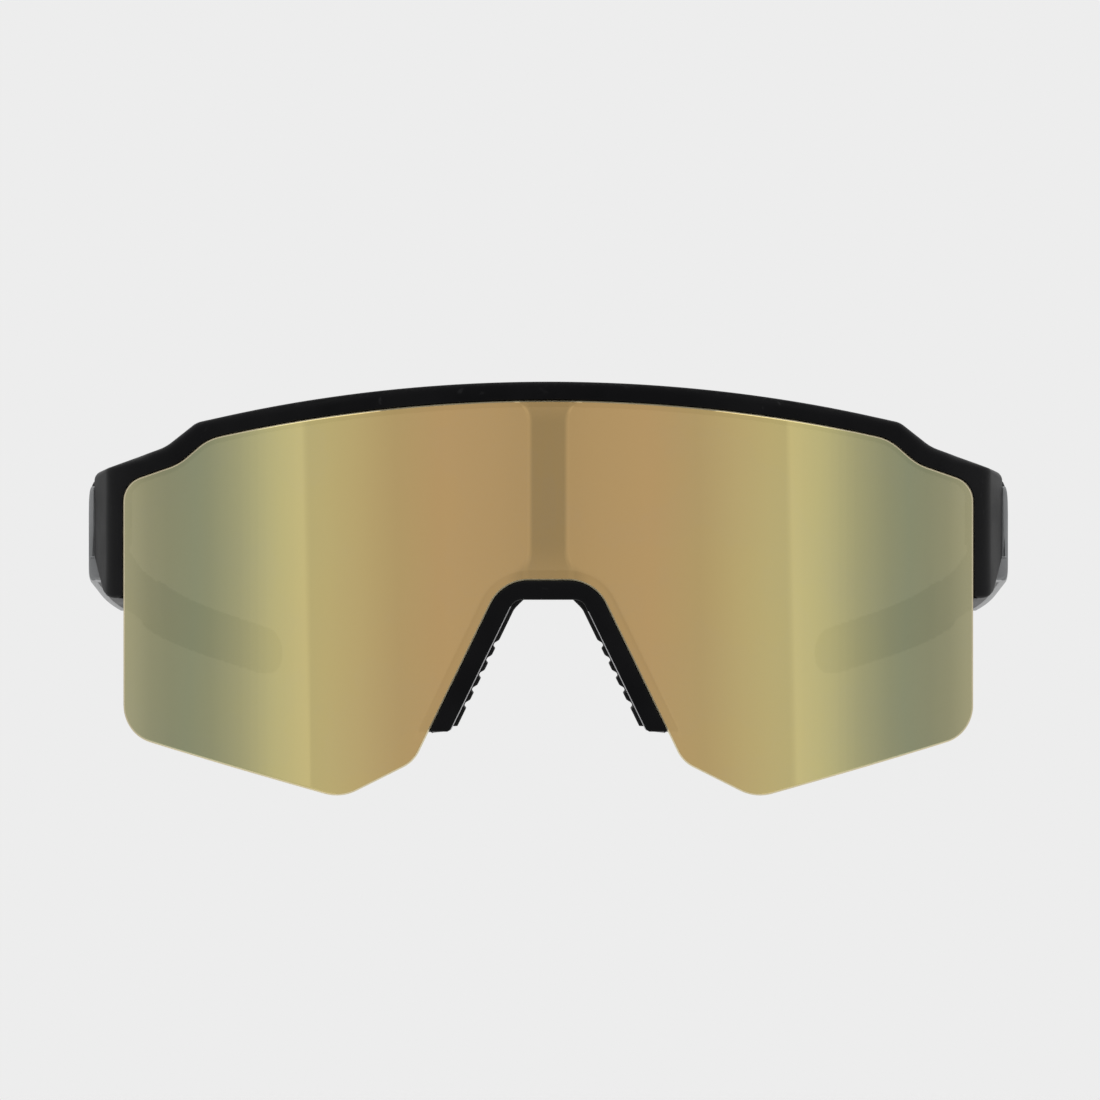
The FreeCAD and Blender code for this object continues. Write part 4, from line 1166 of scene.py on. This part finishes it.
@dataclass(frozen=True)
class TemplePath:
    """The temple's plan and side outlines, shared by its arm, trim and grip.

    The plan's corners are across, back and rounding. top and bottom are an edge's heights at the
    front end, at the taper and at the tip.
    """

    wall: float = 3.25
    outer: float = 73.05
    start: float = 41.973
    lead: float = 2.0
    bends: Corners = ((73.05, 87.973, 230.0), (66.55, 129.97, 130.0))
    plan_end: Place = (51.562, 165.977, 0.0)
    plan_arcs: Counts = (60, 60)
    plan_runs: Counts = (30, 30, 40)
    overrun: float = 4.0
    taper_back: float = 97.97
    taper_round: float = 60.0
    taper_arcs: Counts = (30,)
    taper_runs: Counts = (20, 20)
    tip_back: float = 165.92
    split: float = 111.973
    top_heights: Place = (11.5, -3.2, -14.83)
    bottom_heights: Place = (-4.7, -10.5, -22.13)

    def plan(self, stops: np.ndarray) -> tuple[np.ndarray, np.ndarray]:
        """Points along the temple's outer face in plan, and the directions that face outwards.

        The path is three straight runs joined by two arcs; stops are its distances back.
        """
        table = np.array([(self.outer, self.start - self.lead, 0.0), *self.bends, self.plan_end])
        line = trace(table, self.plan_arcs, self.plan_runs)
        line = np.concatenate([line, line[-1:] + (line[-1:] - line[-2:-1]) * self.overrun])
        run = np.gradient(line, axis=0)
        run /= np.linalg.norm(run, axis=1)[:, None]
        across = np.interp(stops, line[:, 1], line[:, 0])
        heading = [np.interp(stops, line[:, 1], part) for part in run.T]
        return np.column_stack([across, stops]), np.column_stack([heading[1], -heading[0]])

    def height(self, back: np.ndarray, heights: Place) -> np.ndarray:
        """An edge of the side outline: two straight runs, drawn past their ends, joined by an arc."""
        front, rear, tip = heights
        before = front + (front - rear) * self.lead / (self.taper_back - self.start)
        beyond = tip + (tip - rear) * self.lead / (self.tip_back - self.taper_back)
        table = np.array([(self.start - self.lead, before, 0.0),
                          (self.taper_back, rear, self.taper_round),
                          (self.tip_back + self.lead, beyond, 0.0)])
        line = trace(table, self.taper_arcs, self.taper_runs)
        return np.interp(back, line[:, 0], line[:, 1])

    def top(self, back: np.ndarray) -> np.ndarray:
        """The height of the upper edge."""
        return self.height(back, self.top_heights)

    def bottom(self, back: np.ndarray) -> np.ndarray:
        """The height of the lower edge."""
        return self.height(back, self.bottom_heights)

    def rails(self, stops: np.ndarray, shrink: np.ndarray, top: np.ndarray, bottom: np.ndarray,
              depth: float | None = None) -> np.ndarray:
        """Four rails round a part of the temple.

        Args:
            stops: distances back.
            shrink: how far the outer and inner faces lie inside the temple's own.
            top: heights of the upper rails.
            bottom: heights of the lower rails.
            depth: how deep the part goes from the outer face, or None for the whole wall.

        Returns:
            The rails (4, stations, 3).
        """
        outer, normal = self.plan(stops)
        near = outer - normal * shrink[:, None]
        reach = self.wall - shrink if depth is None else np.full(len(stops), depth)
        far = outer - normal * reach[:, None]
        return np.stack([np.column_stack([flat, level]) for flat, level in
                         ((near, top), (near, bottom), (far, bottom), (far, top))])


@dataclass
class Temple:
    """One temple: the arm with its hinge tongue, the trim on its outside and the rubber grip.

    Fields named after a part hold that part's sizes. A part's rounding is that of its section's
    corners: outside top, outside bottom, inside bottom, inside top.
    """

    drawing: Drawing
    finishes: Finishes
    side: Side
    path: TemplePath = TemplePath()
    front_turn: float = 0.4
    front_run: float = 6.0
    arm_gap: float = 0.03
    arm_nose: float = 1.5
    arm_stops: int = 90
    arm_rounding: tuple[float, ...] = (3.4, 2.2, 0.8, 0.9)
    core_gap: float = 0.02
    core_inset: float = 0.95
    core_end: float = 154.9
    core_stops: int = 50
    tongue: Span = (3.4, 7.7)
    tongue_root: float = 71.4
    tongue_half: float = 2.0
    tongue_bore: Span = (0.75, 0.9)
    trim_end: float = 91.97
    trim_tail: float = 2.2
    trim_heights: Span = (10.2, -7.2)
    trim_edge: float = 0.35
    trim_proud: float = 0.25
    trim_depth: float = 1.4
    trim_drop: float = 0.06
    trim_stops: int = 110
    leaf_shoulder: Span = (0.45, 3.2)
    leaf_shoulder_run: float = 16.0
    leaf_rounding: tuple[float, ...] = (2.4, 0.5, 0.5)
    foot_reach: Span = (-0.1, 4.5)
    foot_top: float = -0.9
    foot_inset: float = 0.04
    foot_stops: int = 12
    foot_rounding: tuple[float, ...] = (0.3, 2.4, 0.7, 0.5)
    grip_gap: float = 0.05
    grip_proud: float = 0.35
    grip_stops: int = 240
    grip_rounding: tuple[float, ...] = (1.1, 1.1, 1.3, 1.3)
    tip_run: float = 4.0
    tip_round: float = 3.4
    tip_stops: int = 18
    groove_depth: float = 0.16
    groove_half: float = 0.35
    groove_pitch: float = 3.5
    groove_origin: float = 138.0
    groove_reach: Span = (136.0, 157.0)

    def turn_in(self, back: np.ndarray) -> np.ndarray:
        """How far the temple's faces turn in towards its front end, by a soft step."""
        front = self.path.start
        return self.front_turn * (1 - smooth(front, front + self.front_run, back))

    def arm_shells(self) -> list[Shell]:
        """The arm, stepping in to its core under the grip, and the tongue with its bore.

        The arm's upper and lower edges fall in a quarter circle at its front end.
        """
        path = self.path
        full = np.linspace(path.start + self.arm_gap, path.split, self.arm_stops)
        core = np.linspace(path.split + self.core_gap, self.core_end, self.core_stops)
        stops = np.concatenate([full, core])
        shrink = np.where(stops > path.split, self.core_inset, 0.0)
        lead = np.maximum(path.start + self.arm_nose - stops, 0.0)
        nose = self.arm_nose - np.sqrt(self.arm_nose**2 - lead**2)
        rails = path.rails(stops, shrink + self.turn_in(stops), path.top(stops) - shrink - nose,
                           path.bottom(stops) + shrink + nose)
        arm = loft(rails, self.arm_rounding, 6, 0.3)
        low, high = self.tongue
        root = np.array([(self.tongue_root, HINGE[1] + self.tongue_half),
                         (self.tongue_root, HINGE[1] - self.tongue_half)])
        bore, mouth = self.tongue_bore
        bores = ((high, mouth), (high - BORE_CHAMFER, bore), (low + BORE_CHAMFER, bore), (low, mouth))
        return [arm, Knuckle(low, high, root, bores).shell()]

    def leaf(self) -> Shell:
        """The trim's leaf over the arm's outside, whose straight upper edge runs out to a point."""
        path = self.path
        stops = np.linspace(path.start, self.trim_end + self.trim_tail, self.trim_stops)
        bottom = path.bottom(stops) - self.trim_drop
        slope = np.interp(stops, (path.start, self.trim_end), self.trim_heights)
        top = np.maximum(slope, bottom + self.trim_edge)
        rails = path.rails(stops, self.turn_in(stops) - self.trim_proud, top, bottom, self.trim_depth)
        least, extra = self.leaf_shoulder
        front = 1 - smooth(path.start, path.start + self.leaf_shoulder_run, stops)
        return loft(rails, (least + extra * front, *self.leaf_rounding), 6, 0.4)

    def foot(self) -> Shell:
        """The trim's foot under the arm's front end."""
        path = self.path
        reach = np.array(self.foot_reach) + path.start
        stops = np.linspace(*reach, self.foot_stops)
        shrink = self.turn_in(stops) - self.trim_proud + self.foot_inset
        bottom = path.bottom(stops) - 0.5 * self.trim_drop
        rails = path.rails(stops, shrink, np.full(len(stops), self.foot_top), bottom, path.wall)
        return loft(rails, self.foot_rounding, 6, 0.4)

    def grooves(self, back: np.ndarray) -> np.ndarray:
        """The depth of the grip's cross grooves: bell curves at an even pitch near its tip."""
        half_pitch = self.groove_pitch / 2
        away = (back - self.groove_origin + half_pitch) % self.groove_pitch - half_pitch
        first, last = self.groove_reach
        inside = (back > first) & (back < last)
        return self.groove_depth * np.exp(-((away / self.groove_half) ** 2)) * inside

    def grip_shell(self) -> Shell:
        """The grip: a rubber sleeve, proud of the arm, whose tip is rounded by a quarter circle."""
        path = self.path
        end = path.tip_back + self.grip_proud
        body = np.linspace(path.split + self.grip_gap, path.tip_back - self.tip_run, self.grip_stops)
        swing = np.linspace(0.0, QUARTER_TURN, self.tip_stops)[1:]
        tip = end - (self.tip_run + self.grip_proud) * np.cos(swing)
        stops = np.unique(np.concatenate([body, tip]))
        lead = np.maximum(stops - (end - self.tip_round), 0.0)
        fall = self.tip_round - np.sqrt(np.maximum(self.tip_round**2 - lead**2, 0.0))
        shrink = self.grooves(stops) - self.grip_proud
        rails = path.rails(stops, shrink, path.top(stops) - shrink - fall,
                           path.bottom(stops) + shrink + fall)
        return loft(rails, self.grip_rounding, 5, 0.3)

    def build(self) -> list[bpy.types.Object]:
        """Makes, dresses and places the arm, the trim and the grip."""
        name = self.side.label
        parts = (
            ("arm", self.arm_shells(), self.finishes.temple, "temple_black"),
            ("trim", [self.leaf(), self.foot()], self.finishes.trim, "trim_grey"),
            ("grip", [self.grip_shell()], self.finishes.grip, "grip_rubber"),
        )
        pieces = []
        for part, shells, finish, slot in parts:
            placed = [shell.mirrored(self.side) for shell in shells]
            piece = make_piece(f"{part}_{name}", placed, self.drawing, (finish,))
            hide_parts(f"temple_{part}_{name}")
            pieces.append(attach(piece, self.side.body))
        return pieces


@dataclass
class HingeHardware:
    """The screws and the inserts, which keep their own shapes and get their metals."""

    finishes: Finishes

    def dress(self) -> list[str]:
        """Puts steel on the screws and brass on the inserts, and names what it dressed."""
        dressed = []
        for side in Side:
            for stem, finish in (("screw", self.finishes.screw), ("insert", self.finishes.insert)):
                node = frame["nodes"][f"hinge_{stem}_{side.label}"]
                for place in node.material_slots:
                    place.material = finish
                dressed.append(node.name)
        return dressed


# ---- Studio ----


@dataclass
class Studio:
    """The floor, the soft lights, the pale surround and the camera.

    panels are the surround's level greys by degrees round from the front, the same on both sides.
    lamps are each light's name, place, size and power.
    """

    drawing: Drawing
    floor_drop: float = 0.12
    floor_radius: float = 0.75
    camera_distance: float = 0.900
    camera_across: float = 0.00026
    focal_length: float = 194.4
    background: Colour = (0.847, 0.847, 0.847)
    overhead: Colour = (0.92, 0.92, 0.92)
    underneath: Colour = (0.55, 0.55, 0.55)
    lean: float = 0.42
    level_reach: Span = (0.18, 0.45)
    panels: tuple[Span, ...] = (
        (0, 0.64), (6, 0.65), (10.4, 0.675), (21, 0.71), (31.7, 0.68), (40.5, 0.745), (47.3, 0.765),
        (51.8, 0.755), (52.5, 0.89), (61.2, 0.77), (68.6, 0.61), (76.5, 0.50), (82, 0.475),
        (88, 0.46), (94, 0.49), (100, 0.585), (110, 0.64), (125, 0.80), (180, 0.85),
    )
    floor_rings: int = 24
    floor_spokes: int = 64
    floor_grey: float = 0.82
    lamps: tuple[tuple[str, Place, float, float], ...] = (
        ("light_top", (0.0, -0.25, 0.9), 0.6, 1.2),
        ("light_left", (-0.8, -0.6, 0.5), 0.5, 0.8),
        ("light_right", (0.8, -0.6, 0.5), 0.5, 0.8),
    )
    aim: Place = (0.0, 0.0, 0.03)

    def surround(self) -> None:
        """The world: a plain pale background, and soft panels round the object for gloss to show."""
        world = bpy.data.worlds.new("studio")
        world.use_nodes = True
        bpy.context.scene.world = world
        sheet = Sheet(world.node_tree)
        world.node_tree.nodes.clear()
        direction = sheet.add("ShaderNodeTexCoord").outputs["Generated"]
        parts = sheet.add("ShaderNodeSeparateXYZ", {0: direction}).outputs
        turn = sheet.math("ARCTAN2", parts["X"], sheet.math("MULTIPLY", parts["Y"], -1.0))
        leaning = sheet.math("ADD", turn, sheet.math("MULTIPLY", parts["Z"], self.lean))
        share = sheet.math("DIVIDE", sheet.math("ABSOLUTE", leaning), math.pi)
        panels = sheet.ramp(share, [(turn / 180, (level,) * 3) for turn, level in self.panels])
        low, high = self.level_reach
        over = sheet.span(parts["Z"], low, high, 0.0, 1.0)
        under = sheet.span(parts["Z"], -high, -low, 1.0, 0.0)
        above = sheet.mixed(over, panels, (*self.overhead, 1.0))
        whole = sheet.mixed(under, above, (*self.underneath, 1.0))
        around = sheet.add("ShaderNodeBackground", {"Color": whole, "Strength": 1.0})
        plain = sheet.add("ShaderNodeBackground", {"Color": (*self.background, 1.0), "Strength": 1.0})
        rays = sheet.add("ShaderNodeLightPath").outputs
        seen = sheet.math("MAXIMUM", rays["Is Camera Ray"], rays["Is Transmission Ray"])
        mix = sheet.add("ShaderNodeMixShader", {0: seen, 1: around.outputs[0], 2: plain.outputs[0]})
        sheet.add("ShaderNodeOutputWorld", {"Surface": mix.outputs[0]})

    def floor(self) -> None:
        """A pale round floor under the object, a ring grid that fades out at its rim."""
        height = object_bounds()[0][2] - self.floor_drop
        rings, spokes = self.floor_rings, self.floor_spokes
        radii = np.linspace(MM, self.floor_radius, rings)[:, None]
        swing = np.linspace(0, 2 * math.pi, spokes + 1)[:-1]
        level = np.full((rings, spokes), height)
        points = np.stack([radii * np.cos(swing), radii * np.sin(swing), level], -1)
        mesh = bpy.data.meshes.new("studio_floor")
        faces = [face[::-1] for face in band_faces(rings, spokes)] + [list(range(spokes))]
        mesh.from_pydata(points.reshape(-1, 3).tolist(), [], faces)
        mesh.update()
        material = bpy.data.materials.new("studio_floor")
        material.use_nodes = True
        sheet = Sheet(material.node_tree)
        shader = material.node_tree.nodes["Principled BSDF"]
        place = sheet.add("ShaderNodeTexCoord").outputs["Object"]
        parts = sheet.add("ShaderNodeSeparateXYZ", {0: place}).outputs
        flat = sheet.add("ShaderNodeCombineXYZ", {0: parts["X"], 1: parts["Y"]}).outputs[0]
        reach = sheet.add("ShaderNodeVectorMath", {0: flat}, operation="LENGTH").outputs["Value"]
        fade = sheet.span(reach, 0.45 * self.floor_radius, self.floor_radius, 1.0, 0.0)
        material.node_tree.links.new(fade, shader.inputs["Alpha"])
        shader.inputs["Base Color"].default_value = (*(self.floor_grey,) * 3, 1.0)
        shader.inputs["Roughness"].default_value = 0.8
        mesh.materials.append(material)
        floor = bpy.data.objects.new("studio_floor", mesh)
        bpy.context.scene.collection.objects.link(floor)
        floor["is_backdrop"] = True

    def light(self, name: str, place: Place, size: float, power: float) -> None:
        """A square soft light aimed at the object."""
        lamp = bpy.data.lights.new(name, "AREA")
        lamp.size = size
        lamp.energy = power
        holder = bpy.data.objects.new(name, lamp)
        holder.location = place
        ray = np.array(self.aim) - np.array(place)
        turn = math.atan2(ray[0], -ray[1])
        tilt = math.acos(-ray[2] / np.linalg.norm(ray))
        holder.rotation_euler = (tilt, 0.0, turn + math.pi)
        bpy.context.scene.collection.objects.link(holder)

    def camera(self) -> None:
        """A long lens straight in front, at eye level."""
        data = bpy.data.cameras.new("camera")
        data.lens = self.focal_length
        data.clip_start = 0.01
        camera = bpy.data.objects.new("camera", data)
        camera.location = (self.camera_across, self.drawing.back - self.camera_distance, self.drawing.up)
        camera.rotation_euler = (math.pi / 2, 0.0, 0.0)
        bpy.context.scene.collection.objects.link(camera)
        bpy.context.scene.camera = camera

    def build(self) -> None:
        """Sets up all of the studio."""
        bpy.context.scene.view_settings.view_transform = "Standard"
        self.surround()
        self.floor()
        for lamp in self.lamps:
            self.light(*lamp)
        self.camera()


def main() -> None:
    """Builds the sunglasses piece by piece, then the studio."""
    logging.basicConfig(level=logging.INFO, format="%(message)s")
    drawing = Drawing.of_frame()
    finishes = Finishes.build()
    for builder in (ShieldLens, BrowFrame, NoseBridge):
        piece = builder(drawing, finishes).build()
        LOG.info("%s: %d faces", piece.name, len(piece.data.polygons))
    for side in Side:
        pad = NosePad(drawing, finishes, side).build()
        LOG.info("%s: %d faces", pad.name, len(pad.data.polygons))
        for piece in Temple(drawing, finishes, side).build():
            LOG.info("%s: %d faces", piece.name, len(piece.data.polygons))
    LOG.info("metals on %s", HingeHardware(finishes).dress())
    Studio(drawing).build()


if __name__ == "__main__":
    main()
